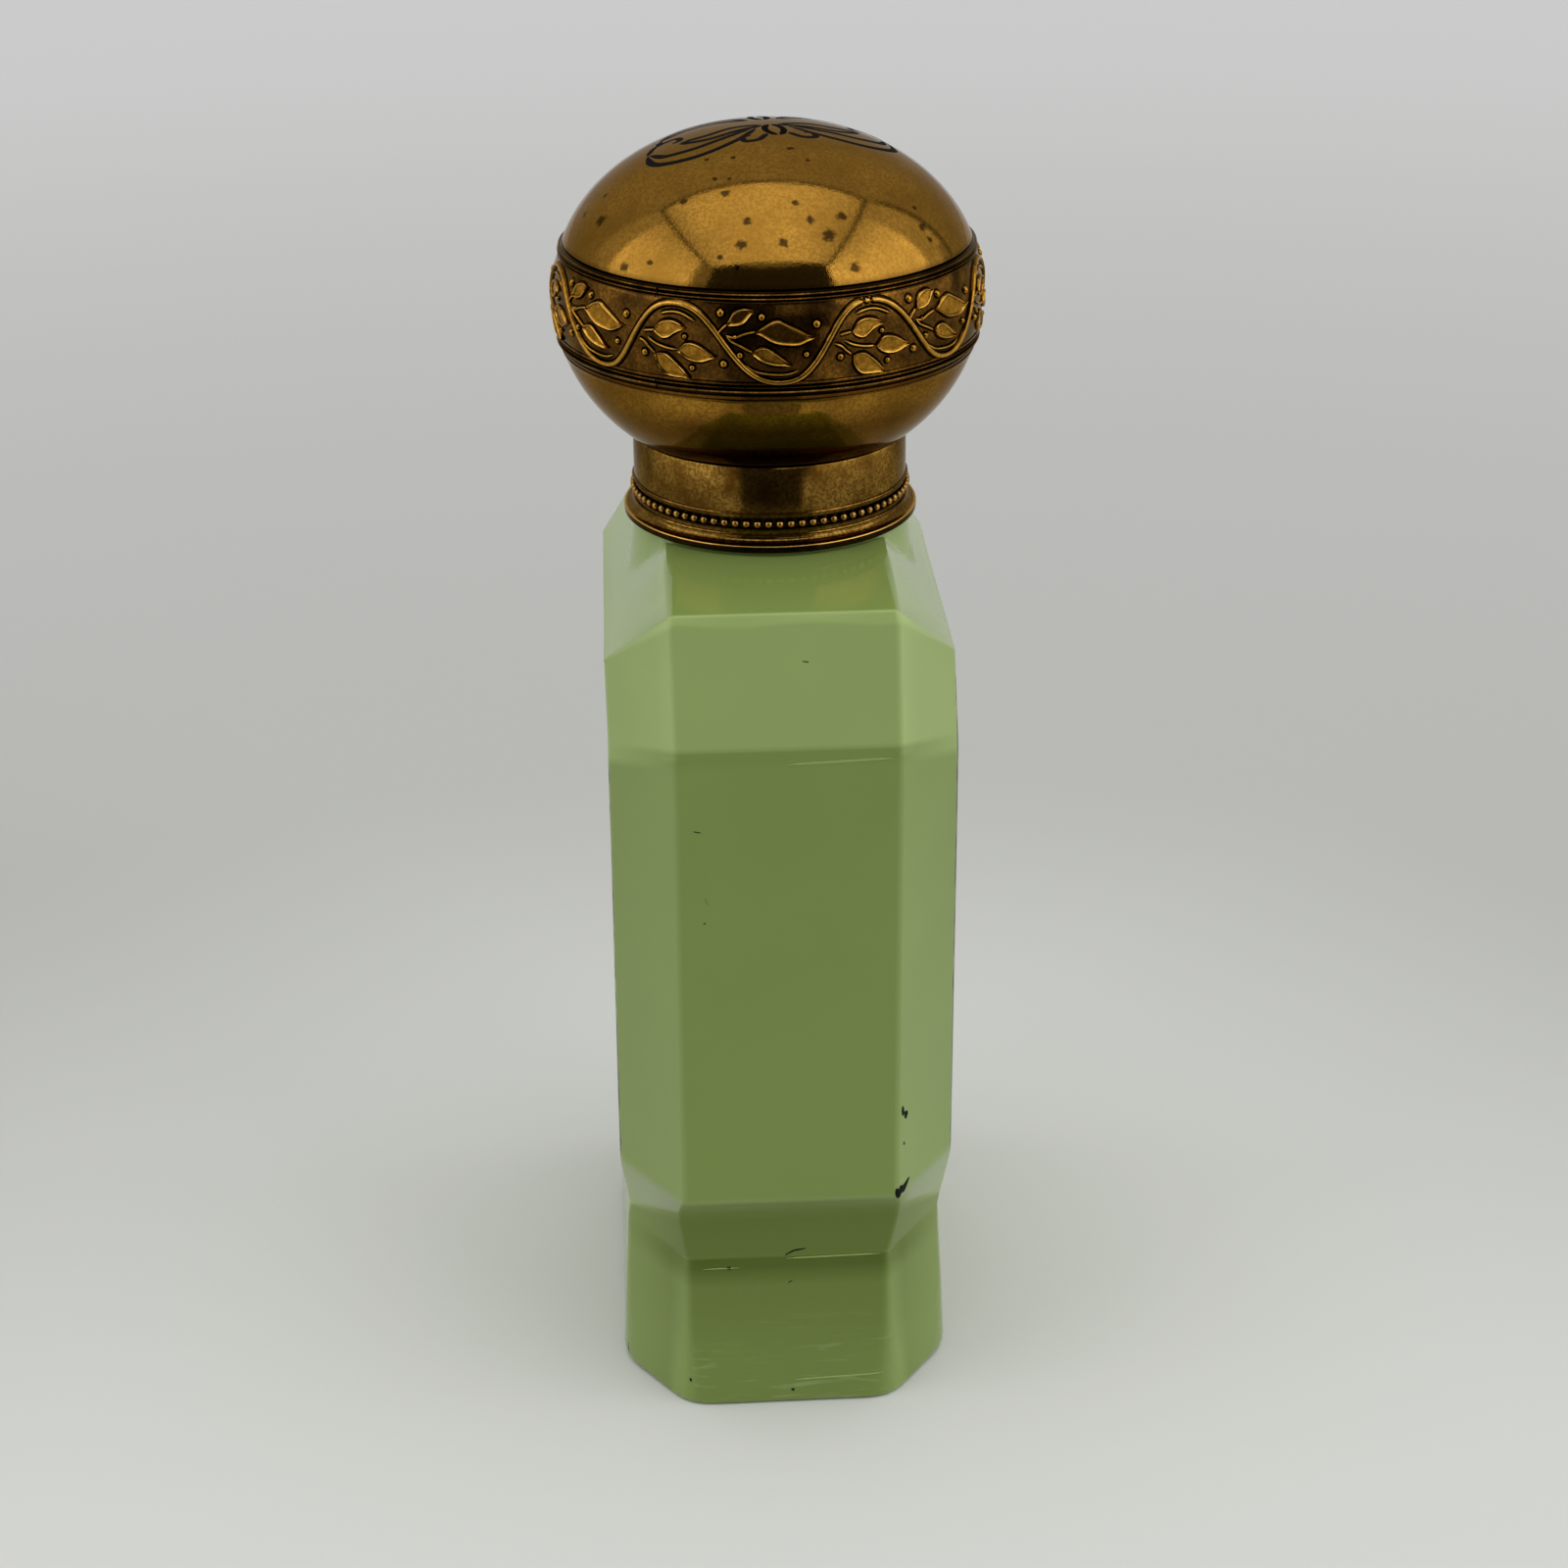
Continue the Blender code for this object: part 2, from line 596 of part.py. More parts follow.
def make_vine_band(parts, material):
    """Brass strip round the ball's middle, over the joint, with a grooved line along each edge."""
    outer = BAND_PROUD
    groove = BAND_PROUD - BAND_GROOVE_DEPTH
    inner = FIT - BAND_SEAT_DEPTH
    upper_line = BAND_TOP - BAND_LINE_WIDTH
    upper_field = upper_line - BAND_GROOVE_WIDTH
    lower_line = BAND_BOTTOM + BAND_LINE_WIDTH
    lower_field = lower_line + BAND_GROOVE_WIDTH
    profile = [
        ball_point(BAND_TOP, outer),
        ball_point(upper_line, outer),
        ball_point(upper_line, groove),
        ball_point(upper_field, groove),
        *ball_arc(upper_field, BALL_MIDDLE, outer, INNER_ARC_STEPS),
        *ball_arc(BALL_MIDDLE, lower_field, outer, INNER_ARC_STEPS)[1:],
        ball_point(lower_field, groove),
        ball_point(lower_line, groove),
        ball_point(lower_line, outer),
        ball_point(BAND_BOTTOM, outer),
        *reversed(ball_arc(BALL_MIDDLE, BAND_BOTTOM, inner, INNER_ARC_STEPS)),
        *reversed(ball_arc(BAND_TOP, BALL_MIDDLE, inner, INNER_ARC_STEPS)[:-1]),
    ]
    return turned("vine_band", profile, parts, material)


def hang_on(pivot, things):
    """Parent pieces to an empty without moving them."""
    bpy.context.view_layer.update()
    for thing in things:
        thing.parent = pivot
        thing.matrix_parent_inverse = pivot.matrix_world.inverted()


def build():
    """Make every piece of the powder bottle."""
    clear_scene()
    parts = new_collection("powder_bottle")
    cutters = new_collection("construction")

    green_glass = new_material("jade_green_glass", (0.20, 0.28, 0.09), 0.12, 0.0)
    old_brass = new_material("patinated_brass", (0.38, 0.21, 0.05), 0.32, 1.0)
    dark_brass = new_material("dark_brass_strip", (0.30, 0.16, 0.05), 0.38, 1.0)
    inside_brass = new_material("plain_brass", (0.55, 0.38, 0.14), 0.35, 1.0)
    plaster = new_material("neck_plaster", (0.75, 0.73, 0.68), 0.9, 0.0)
    card = new_material("waxed_card", (0.48, 0.36, 0.22), 0.8, 0.0)

    make_glass_bottle(parts, cutters, green_glass)
    make_neck_plaster(parts, plaster)
    make_collar(parts, old_brass)
    make_bead_ring(parts, dark_brass)
    make_sifter_head(parts, cutters, inside_brass)

    pivot = bpy.data.objects.new("cap_axis", None)
    pivot.location = (0.0, 0.0, COLLAR_TOP * MM)
    parts.objects.link(pivot)
    cap_pieces = [
        make_thread_shell(parts, cutters, inside_brass),
        make_cap_liner(parts, card),
        make_cap_bowl(parts, old_brass),
        make_vine_band(parts, dark_brass),
        make_cap_dome(parts, old_brass),
    ]
    hang_on(pivot, cap_pieces)


build()
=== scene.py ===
"""Looks of the talcum powder bottle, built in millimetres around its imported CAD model."""

from math import asin, cos, exp, hypot, log, pi, radians, sin, sqrt, tan

import bmesh
import bpy
from mathutils import Matrix, Vector, noise
from mathutils.bvhtree import BVHTree


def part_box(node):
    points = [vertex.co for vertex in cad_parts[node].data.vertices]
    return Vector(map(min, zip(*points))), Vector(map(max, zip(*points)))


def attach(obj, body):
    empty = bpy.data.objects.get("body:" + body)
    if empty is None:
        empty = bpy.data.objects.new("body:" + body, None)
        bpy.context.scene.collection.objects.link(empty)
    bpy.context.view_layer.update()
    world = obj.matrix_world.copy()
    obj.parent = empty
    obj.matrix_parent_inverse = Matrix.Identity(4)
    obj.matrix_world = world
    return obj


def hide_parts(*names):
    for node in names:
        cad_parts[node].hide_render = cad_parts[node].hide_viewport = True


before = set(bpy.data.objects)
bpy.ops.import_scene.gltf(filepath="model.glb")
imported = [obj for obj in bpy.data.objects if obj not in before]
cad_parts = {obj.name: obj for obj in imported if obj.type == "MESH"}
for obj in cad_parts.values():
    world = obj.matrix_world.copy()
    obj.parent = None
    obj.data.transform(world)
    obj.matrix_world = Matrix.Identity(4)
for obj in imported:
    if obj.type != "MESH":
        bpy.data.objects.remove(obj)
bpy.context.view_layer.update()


# Glass bottle
# A flat octagonal bottle of pressed glass that stands on its foot, with rounded arrises from the mould.
# Its outside carries an opaque jade green colour, fired on, which is glossy and worn to the dark
# glass along the sharp edges of the broad sides. Light and shade are painted into that colour as a tone.
MM = 0.001
bottle_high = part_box("glass_bottle")[1]
BROAD_X = bottle_high.x / MM
END_Y = bottle_high.y / MM
CORNER_ACROSS = 6.7
CORNER_ALONG = 9.5
ARRIS_REACH = 0.5
FOOT_ARRIS_REACH = 0.9
BASE_ARRIS_REACH = 2.6
BASE_EDGE_Z = 1.0
FOOT_Z = 18.35
ARRIS_STEPS = 4
FILLET_STEPS = 6
EDGE_SPANS = (4, 9, 4, 14, 4, 9, 4, 14)

BEVEL_END_Z = 24.1
BEVEL_SIDE_Z = 20.0
BELLY_END_Z = 25.7
BELLY_SIDE_Z = 25.3
SHOULDER_END_Z = 92.0
SHOULDER_SIDE_Z = 84.2
SHOULDER_INSET = 0.45
STRIP_RISE = 1.0
STRIP_HALF = 11.15
RIDGE_SOFTNESS = 0.04
SEAT_Z = 93.05
SEAT_RADIUS = 14.5
SEAT_FALL = 8.0
SEAT_FILLET = 0.45
NECK_RADIUS = 10.8
LIP_RADIUS = 11.8
LIP_BOTTOM_Z = 97.95
MOUTH_Z = bottle_high.z / MM
BORE_RADIUS = 8.0
CEILING_Z = 87.0
VAULT_TOP_Z = 86.0
VAULT_Z = 79.0
VAULT_FOOT_Z = 75.0
VAULT_INSET = 6.2
CHAMBER_INSET = 4.2
FLOOR_Z = 5.0


def octagon(inset, end_z, side_z, shift=0.0, end_half=0.0):
    """The eight corners of the plan at one level, drawn in by an inset and shifted sideways."""
    corner_share = 2.0 - sqrt(2.0)
    side_x = BROAD_X - inset
    end_y = END_Y - inset
    end_x = side_x - CORNER_ACROSS + corner_share * inset + end_half
    side_y = end_y - CORNER_ALONG + corner_share * inset
    plan = [(end_x, -end_y, end_z), (side_x, -side_y, side_z)]
    plan += [(x, -y, z) for x, y, z in reversed(plan)]
    plan += [(-x, y, z) for x, y, z in reversed(plan)]
    return [Vector((x + shift, y, z)) for x, y, z in plan]


def bent(start, corner, end, share):
    """A point of the soft bend that runs from start to end and is drawn towards a corner."""
    return start * (1.0 - share) ** 2 + corner * (2.0 * share * (1.0 - share)) + end * share ** 2


def rounded_ring(corners):
    """A ring of points round the bottle, with each arris rounded, more on the foot and most at its base."""
    low = corners[0].z
    reach = ARRIS_REACH
    if low < BASE_EDGE_Z:
        reach = BASE_ARRIS_REACH
    elif low <= FOOT_Z:
        reach = FOOT_ARRIS_REACH
    points = []
    for index, corner in enumerate(corners):
        following = corners[(index + 1) % len(corners)]
        start = corner + (corners[index - 1] - corner).normalized() * reach
        end = corner + (following - corner).normalized() * reach
        next_start = following + (corner - following).normalized() * reach
        for step in range(ARRIS_STEPS + 1):
            points.append(bent(start, corner, end, step / ARRIS_STEPS))
        for step in range(1, EDGE_SPANS[index]):
            points.append(end.lerp(next_start, step / EDGE_SPANS[index]))
    return points


def sideness(point):
    """0 on the narrow ends, 1 on the broad sides and a share between them on the cut corners."""
    across = (abs(point.x) - (BROAD_X - CORNER_ACROSS)) / CORNER_ACROSS
    return min(1.0, max(0.0, across))


def roof_height(x, y):
    """Height of the shoulder: a level strip, a slope on each broad side and a soft rise to the seat."""
    strip = SHOULDER_END_Z + STRIP_RISE * min(1.0, max(0.0, (END_Y - abs(y)) / (END_Y - SEAT_RADIUS)))
    share = (abs(x) - STRIP_HALF) / (BROAD_X - SHOULDER_INSET - STRIP_HALF)
    fall = 0.5 * (share + sqrt(share * share + RIDGE_SOFTNESS ** 2))
    fall = min(1.0, fall)
    gable = strip + (SHOULDER_SIDE_Z - strip) * fall
    boss = SEAT_Z - SEAT_FALL * max(0.0, hypot(x, y) - SEAT_RADIUS)
    return SEAT_FILLET * log(exp((gable - boss) / SEAT_FILLET) + 1.0) + boss


# Each level of the outside: its corners, how far its edge is rounded on the ends and on the sides,
# how many rows follow up to the next level, how deep the colour is painted above it on the ends and sides
# (1 is the colour of the tall panels, less is deeper and more is paler; these tones are painted light and
# shade: paler on the upper panels, deeper on the foot under the ledge and on the shoulder's strip under
# the cap), and how much paler its edge is painted, as a painted highlight along its rounding.
outside = [
    (octagon(6.5, 0.5, 0.5), 0.0, 0.0, 1, 0.9, 0.9, 0.0),
    (octagon(4.4, 0.0, 0.0), 0.5, 0.5, 1, 0.85, 0.88, 0.0),
    (octagon(0.03, 0.0, 0.0, -0.3, -0.3), 0.8, 1.2, 6, 0.79, 0.89, 0.04),
    (octagon(0.5, 9.2, 9.2, -0.32, -0.25), 4.0, 4.0, 3, 0.74, 0.88, 0.0),
    (octagon(0.86, 15.8, 15.8, -0.34, -0.22), 1.2, 1.2, 1, 0.57, 0.86, 0.0),
    (octagon(1.0, FOOT_Z, FOOT_Z, -0.35, -0.2), 0.3, 0.4, 3, 0.68, 0.85, 0.06),
    (octagon(1.0, BEVEL_END_Z, BEVEL_SIDE_Z, -0.1, 0.9), 1.3, 0.12, 2, 0.82, 1.15, 0.0),
    (octagon(0.0, BELLY_END_Z, BELLY_SIDE_Z), 0.5, 1.6, 14, 0.97, 0.92, 0.06),
    (octagon(0.0, 76.0, 73.0, 0.2), 0.5, 0.5, 2, 0.93, 1.22, 0.0),
    (octagon(0.05, 77.8, 74.8, 0.2), 0.35, 0.35, 6, 1.34, 1.22, 0.04),
    (octagon(0.2, 90.85, SHOULDER_SIDE_Z - 0.25, -0.08), 0.3, 0.1, 1, 1.44, 1.0, 0.0),
    (octagon(SHOULDER_INSET, SHOULDER_END_Z, SHOULDER_SIDE_Z, -0.1), 0.35, 0.3, 1, 0.9, 1.08, 0.0),
]
rings = [rounded_ring(level[0]) for level in outside]
shoulder_ring = rings[-1]
# The worn edge of the shoulder is a little wavy on the narrow ends.
SHOULDER_WAVE = 0.25
SHOULDER_WAVE_LENGTH = 14.0
SHOULDER_CREST_X = 2.5
for point in rings[-2]:
    if abs(point.x) < STRIP_HALF:
        point.z += SHOULDER_WAVE * cos(2.0 * pi * (point.x - SHOULDER_CREST_X) / SHOULDER_WAVE_LENGTH)
ring_size = len(shoulder_ring)

# The shoulder's lines run from the corners to these places round the neck, in degrees.
corner_turns = (-39.0, -24.6, 24.6, 39.0, 141.0, 155.4, 204.6, 219.0, 321.0)
corner_starts = [0]
for span in EDGE_SPANS:
    corner_starts.append(corner_starts[-1] + ARRIS_STEPS + span)
turns = []
for index, span in enumerate(EDGE_SPANS):
    count = ARRIS_STEPS + span
    for step in range(count):
        turns.append(corner_turns[index] + (corner_turns[index + 1] - corner_turns[index]) * step / count)
turns = turns[-(ARRIS_STEPS // 2):] + turns[:-(ARRIS_STEPS // 2)]


def round_ring(radius, height):
    """A round ring about the neck with as many points as the octagon has."""
    return [Vector((radius * cos(radians(turn)), radius * sin(radians(turn)), height)) for turn in turns]


ROOF_ROWS = (0.22, 0.3, 0.38, 0.46, 0.54, 0.62, 0.7, 0.76, 0.82, 0.87, 0.91, 0.95, 0.98, 1.0)
seat_ring = round_ring(SEAT_RADIUS, SEAT_Z)
roof_rings = []
for share in ROOF_ROWS:
    row = [edge.lerp(seat, share) for edge, seat in zip(shoulder_ring, seat_ring)]
    roof_rings.append([Vector((point.x, point.y, roof_height(point.x, point.y))) for point in row])

# A rounded edge takes at most this share of the face beside it, and its painted highlight fades this fast
# from the narrow ends to the broad sides. On the shoulder the painted tones meet within a narrow ridge.
BEND_LIMIT = 0.75
EDGE_TONE_FADE = 8.0
RIDGE_BLEND = 0.5
rows = []
tones = []
levels = rings + [roof_rings[0]]
sides = [sideness(point) for point in shoulder_ring]
# The tones stand for painted light and shade: paler where light falls, deeper where shade falls.
for index, (corners, end_reach, side_reach, spans, end_tone, side_tone, edge_highlight) in enumerate(outside):
    level_tones = [end_tone + (side_tone - end_tone) * side for side in sides]
    if index == 0:
        rows.append(levels[0])
        tones.append(level_tones)
        continue
    bend_rows = [[] for step in range(FILLET_STEPS + 1)]
    for column, point in enumerate(levels[index]):
        below = levels[index - 1][column] - point
        above = levels[index + 1][column] - point
        reach = end_reach + (side_reach - end_reach) * sides[column]
        start = point + below.normalized() * min(reach, BEND_LIMIT * below.length)
        end = point + above.normalized() * min(reach, BEND_LIMIT * above.length)
        for step in range(FILLET_STEPS + 1):
            bend_rows[step].append(bent(start, point, end, step / FILLET_STEPS))
    last_row = rows[-1]
    last_tones = tones[-1]
    spans_below = outside[index - 1][3]
    for step in range(1, spans_below):
        share = step / spans_below
        rows.append([a.lerp(b, share) for a, b in zip(last_row, bend_rows[0])])
        tones.append(last_tones)
    for step in range(FILLET_STEPS + 1):
        rows.append(bend_rows[step])
        share = step / FILLET_STEPS
        edge = edge_highlight * sin(pi * share)
        tones.append([old + (new - old) * share + edge * (1.0 - min(1.0, EDGE_TONE_FADE * side))
                      for old, new, side in zip(last_tones, level_tones, sides)])
rows += roof_rings
end_tone, side_tone = outside[-1][4:6]
for row in roof_rings:
    slope_shares = [min(1.0, max(0.0, (abs(point.x) - STRIP_HALF) / RIDGE_BLEND)) for point in row]
    tones.append([end_tone + (side_tone - end_tone) * share for share in slope_shares])

# Neck, mouth and the powder chamber, down to its floor.
inside = [
    round_ring(NECK_RADIUS, SEAT_Z),
    round_ring(NECK_RADIUS, LIP_BOTTOM_Z),
    round_ring(LIP_RADIUS, LIP_BOTTOM_Z),
    round_ring(LIP_RADIUS, MOUTH_Z),
    round_ring(BORE_RADIUS, MOUTH_Z),
    round_ring(BORE_RADIUS, CEILING_Z),
    rounded_ring(octagon(VAULT_INSET, VAULT_TOP_Z, VAULT_Z)),
    rounded_ring(octagon(CHAMBER_INSET, VAULT_Z, VAULT_FOOT_Z)),
    rounded_ring(octagon(CHAMBER_INSET, FLOOR_Z, FLOOR_Z)),
]
rows += inside
tones += [[1.0] * ring_size] * len(inside)

# The glass is a little wavy, most on the foot. There and above the crease the cut corners carry painted
# highlights along the narrow ends. A painted reflection of the floor makes the bevel paler on the cut
# corners and the broad sides.
WAVE_LENGTH = 14.0
WAVE_DEPTH = 0.05
WAVE_SINK = 0.06
RIPPLE_LENGTH = 4.0
RIPPLE_DEPTH = 0.03
RIPPLE_FADE = 6.0
BEVEL_REFLECTION_TOP_Z = 26.3
BEVEL_REFLECTION_EDGE_BELOW = 0.15
BEVEL_REFLECTION_EDGE_ABOVE = 1.2
END_SHARE = 0.02
FOOT_ARRIS_HIGHLIGHT = 0.13
UPPER_ARRIS_HIGHLIGHT = 0.1
CREASE_Z = 76.5
HIGHLIGHT_SPREAD = (0.0, 0.1, 0.6, 1.0, 0.9)
arris_shares = [0.0] * ring_size
for corner in (0, 3, 4, 7):
    spread = HIGHLIGHT_SPREAD if corner in (0, 4) else HIGHLIGHT_SPREAD[::-1]
    for step, share in enumerate(spread):
        arris_shares[corner_starts[corner] + step] = share
points = []
tone_values = []
bevel_reflection_values = []
for row, row_tones in zip(rows, tones):
    for point, tone, arris_share, side in zip(row, row_tones, arris_shares, sides):
        # Share of the painted reflection on the bevel, on the cut corners and broad sides only.
        bevel_low = BEVEL_END_Z + (BEVEL_SIDE_Z - BEVEL_END_Z) * side
        in_bevel = min(1.0, (point.z - bevel_low) / BEVEL_REFLECTION_EDGE_BELOW,
                       (BEVEL_REFLECTION_TOP_Z - point.z) / BEVEL_REFLECTION_EDGE_ABOVE)
        bevel_reflection_values.append(max(0.0, in_bevel) if side > END_SHARE else 0.0)
        outward = Vector((point.x, point.y, 0.0)).normalized()
        foot_share = min(1.0, max(0.0, (FOOT_Z - point.z) / RIPPLE_FADE))
        wave = noise.noise(point / WAVE_LENGTH) * WAVE_DEPTH - WAVE_SINK
        ripple = (noise.noise(point / RIPPLE_LENGTH) - 0.5) * RIPPLE_DEPTH * foot_share
        points.append((point + outward * (wave + ripple)) * MM)
        # Painted highlight along the arrises of the cut corners, on the foot and above the crease.
        arris_highlight = 0.0
        if point.z < FOOT_Z:
            arris_highlight = FOOT_ARRIS_HIGHLIGHT
        elif point.z > CREASE_Z:
            arris_highlight = UPPER_ARRIS_HIGHLIGHT
        tone_values.append(tone + arris_highlight * arris_share)
faces = [tuple(range(ring_size - 1, -1, -1))]
for row in range(len(rows) - 1):
    for column in range(ring_size):
        after = (column + 1) % ring_size
        low = row * ring_size
        high = low + ring_size
        faces.append((low + column, low + after, high + after, high + column))
last = (len(rows) - 1) * ring_size
faces.append(tuple(range(last, last + ring_size)))


def add_piece(name, points, faces, sharp=35.0):
    """A mesh piece from points in metres, smooth but for its sharp edges."""
    mesh = bpy.data.meshes.new(name)
    mesh.from_pydata(points, [], faces)
    mesh.validate()
    mesh.shade_smooth()
    mesh.set_sharp_from_angle(angle=radians(sharp))
    piece = bpy.data.objects.new(name, mesh)
    bpy.context.scene.collection.objects.link(piece)
    return piece


def add_values(piece, name, values):
    """Store one number for each point of a piece, for its material to read."""
    layer = piece.data.attributes.new(name, "FLOAT", "POINT")
    layer.data.foreach_set("value", values)


def linear(code):
    """The linear colour of an sRGB hex code."""
    channels = []
    for start in (1, 3, 5):
        value = int(code[start:start + 2], 16) / 255.0
        channels.append(value / 12.92 if value <= 0.04045 else ((value + 0.055) / 1.055) ** 2.4)
    return (*channels, 1.0)


def add_node(tree, kind, inputs, **settings):
    """Add a node with its settings, and give each of its inputs a value or a link."""
    made = tree.nodes.new(kind)
    for name, value in settings.items():
        setattr(made, name, value)
    for name, value in inputs.items():
        if isinstance(value, bpy.types.NodeSocket):
            tree.links.new(value, made.inputs[name])
        else:
            made.inputs[name].default_value = value
    return made


def new_material(name):
    """An empty material: its node tree, its shader and the coordinates of the piece."""
    material = bpy.data.materials.new(name)
    material.use_nodes = True
    tree = material.node_tree
    place = tree.nodes.new("ShaderNodeTexCoord").outputs["Object"]
    return material, tree, tree.nodes["Principled BSDF"], place


# Opaque colour fired on pressed glass: even, deep and glossy, with painted light that makes it a little
# paler above the crease and painted shade that deepens it on the foot, with faint cloudiness and slow
# waves that bend its reflections.
CLOUD_SIZE = 16.0
SHEEN_SIZE = 4.0
SURFACE_WAVE = 5.0
jade, tree, shader, place = new_material("fired_jade_colour_on_pressed_glass")
clouds = add_node(tree, "ShaderNodeTexNoise", {
    "Vector": place, "Scale": 1.0 / (CLOUD_SIZE * MM), "Detail": 3.0})
DEEP_TONE = 0.5
PALE_TONE = 1.5
MAIN_SHARE = (1.0 - DEEP_TONE) / (PALE_TONE - DEEP_TONE)
# The stored tone holds painted light and shade for each point of the glass.
tone = add_node(tree, "ShaderNodeAttribute", {}, attribute_name="tone")
depth = add_node(tree, "ShaderNodeMapRange", {
    "Value": tone.outputs["Fac"], "From Min": DEEP_TONE, "From Max": PALE_TONE})
body = add_node(tree, "ShaderNodeValToRGB", {"Fac": depth.outputs["Result"]})
body.color_ramp.elements[0].color = linear("#4B5B0F")
body.color_ramp.elements[1].color = linear("#B8CF81")
body.color_ramp.elements.new(MAIN_SHARE).color = linear("#93A95C")
cloud_share = add_node(tree, "ShaderNodeMapRange", {
    "Value": clouds.outputs["Fac"], "From Min": 0.3, "From Max": 0.7, "To Min": 0.0, "To Max": 0.12})
clouded = add_node(tree, "ShaderNodeMix", {
    0: cloud_share.outputs["Result"], 6: body.outputs["Color"], 7: linear("#728444")}, data_type="RGBA")

# Low on the narrow ends of the foot the glass flowed in the mould and left ripples; faint pale streaks are
# painted there as glints of light on them.
STREAK_LENGTH = 8.0
STREAK_WIDTH = 0.8
STREAK_MARGIN = 0.5
STREAK_TOP_Z = 12.0
STREAK_FULL_Z = 4.0
spot = add_node(tree, "ShaderNodeSeparateXYZ", {"Vector": place})
on_end = add_node(tree, "ShaderNodeMath", {
    0: spot.outputs["X"], 1: 0.0, 2: (BROAD_X - CORNER_ACROSS - STREAK_MARGIN) * MM}, operation="COMPARE")
stretched = add_node(tree, "ShaderNodeVectorMath", {
    0: place, 1: (1.0 / (STREAK_LENGTH * MM), 1.0 / (STREAK_LENGTH * MM), 1.0 / (STREAK_WIDTH * MM))},
    operation="MULTIPLY")
flow = add_node(tree, "ShaderNodeTexNoise", {
    "Vector": stretched.outputs["Vector"], "Scale": 1.0, "Detail": 2.0, "Distortion": 1.4})
streak = add_node(tree, "ShaderNodeMapRange", {
    "Value": flow.outputs["Fac"], "From Min": 0.57, "From Max": 0.72})
low_share = add_node(tree, "ShaderNodeMapRange", {
    "Value": spot.outputs["Z"], "From Min": STREAK_TOP_Z * MM, "From Max": STREAK_FULL_Z * MM,
    "To Min": 0.0, "To Max": 0.22})
streak_share = add_node(tree, "ShaderNodeMath", {
    0: streak.outputs["Result"], 1: low_share.outputs["Result"]}, operation="MULTIPLY")
end_streaks = add_node(tree, "ShaderNodeMath", {
    0: streak_share.outputs["Value"], 1: on_end.outputs["Value"]}, operation="MULTIPLY")
# Painted glints: pale streaks mixed into the colour low on the narrow ends.
streaked = add_node(tree, "ShaderNodeMix", {
    0: end_streaks.outputs["Value"], 6: clouded.outputs[2], 7: linear("#B9C99A")}, data_type="RGBA")

# On the bevel over the foot a painted reflection of the pale floor makes it paler and greyer.
BEVEL_REFLECTION_SHARE = 0.5
bevel_reflection = add_node(tree, "ShaderNodeAttribute", {}, attribute_name="bevel_reflection")
bevel_reflection_share = add_node(tree, "ShaderNodeMath", {
    0: bevel_reflection.outputs["Fac"], 1: BEVEL_REFLECTION_SHARE}, operation="MULTIPLY")
bevel_reflected = add_node(tree, "ShaderNodeMix", {
    0: bevel_reflection_share.outputs["Value"], 6: streaked.outputs[2], 7: linear("#A9AF9B")}, data_type="RGBA")

# The colour is worn off here and there along the arrises of the broad sides.
ARRIS_WEAR = 0.24
ARRIS_FRAY = 0.7
FRAY_SIZE = 2.5
WEAR_SOFTNESS = 0.05
apart = add_node(tree, "ShaderNodeVectorMath", {0: place}, operation="ABSOLUTE")
flat = add_node(tree, "ShaderNodeVectorMath", {
    0: apart.outputs["Vector"], 1: (1.0, 1.0, 0.0)}, operation="MULTIPLY")
arris = Vector((BROAD_X, END_Y - CORNER_ALONG, 0.0)) * MM
from_arris = add_node(tree, "ShaderNodeVectorMath", {
    0: flat.outputs["Vector"], 1: arris}, operation="DISTANCE")
fray = add_node(tree, "ShaderNodeTexNoise", {
    "Vector": place, "Scale": 1.0 / (FRAY_SIZE * MM), "Detail": 5.0})
frayed = add_node(tree, "ShaderNodeMath", {
    0: fray.outputs["Fac"], 1: -ARRIS_FRAY * MM, 2: from_arris.outputs["Value"]}, operation="MULTIPLY_ADD")
worn = add_node(tree, "ShaderNodeMapRange", {
    "Value": frayed.outputs["Value"], "From Min": (ARRIS_WEAR - WEAR_SOFTNESS - ARRIS_FRAY / 2.0) * MM,
    "From Max": (ARRIS_WEAR + WEAR_SOFTNESS - ARRIS_FRAY / 2.0) * MM, "To Min": 1.0, "To Max": 0.0})
coloured = add_node(tree, "ShaderNodeMix", {
    0: worn.outputs["Result"], 6: bevel_reflected.outputs[2], 7: linear("#2B3120")}, data_type="RGBA")
tree.links.new(coloured.outputs[2], shader.inputs["Base Color"])

# Its gloss varies a little from place to place, and the deep painted tones of the foot shine less.
sheen = add_node(tree, "ShaderNodeTexNoise", {
    "Vector": place, "Scale": 1.0 / (SHEEN_SIZE * MM), "Detail": 4.0})
gloss = add_node(tree, "ShaderNodeMapRange", {
    "Value": sheen.outputs["Fac"], "From Min": 0.3, "From Max": 0.7, "To Min": 0.05, "To Max": 0.11})
tree.links.new(gloss.outputs["Result"], shader.inputs["Roughness"])
waves = add_node(tree, "ShaderNodeTexNoise", {
    "Vector": place, "Scale": 1.0 / (SURFACE_WAVE * MM), "Detail": 1.0})
ripple = add_node(tree, "ShaderNodeBump", {
    "Height": waves.outputs["Fac"], "Strength": 0.08, "Distance": 0.25 * MM})
tree.links.new(ripple.outputs["Normal"], shader.inputs["Normal"])
deep_sheen = add_node(tree, "ShaderNodeMapRange", {
    "Value": tone.outputs["Fac"], "From Min": 0.75, "From Max": 1.0, "To Min": 0.18, "To Max": 0.5})
tree.links.new(deep_sheen.outputs["Result"], shader.inputs["Specular IOR Level"])
shader.inputs["IOR"].default_value = 1.5

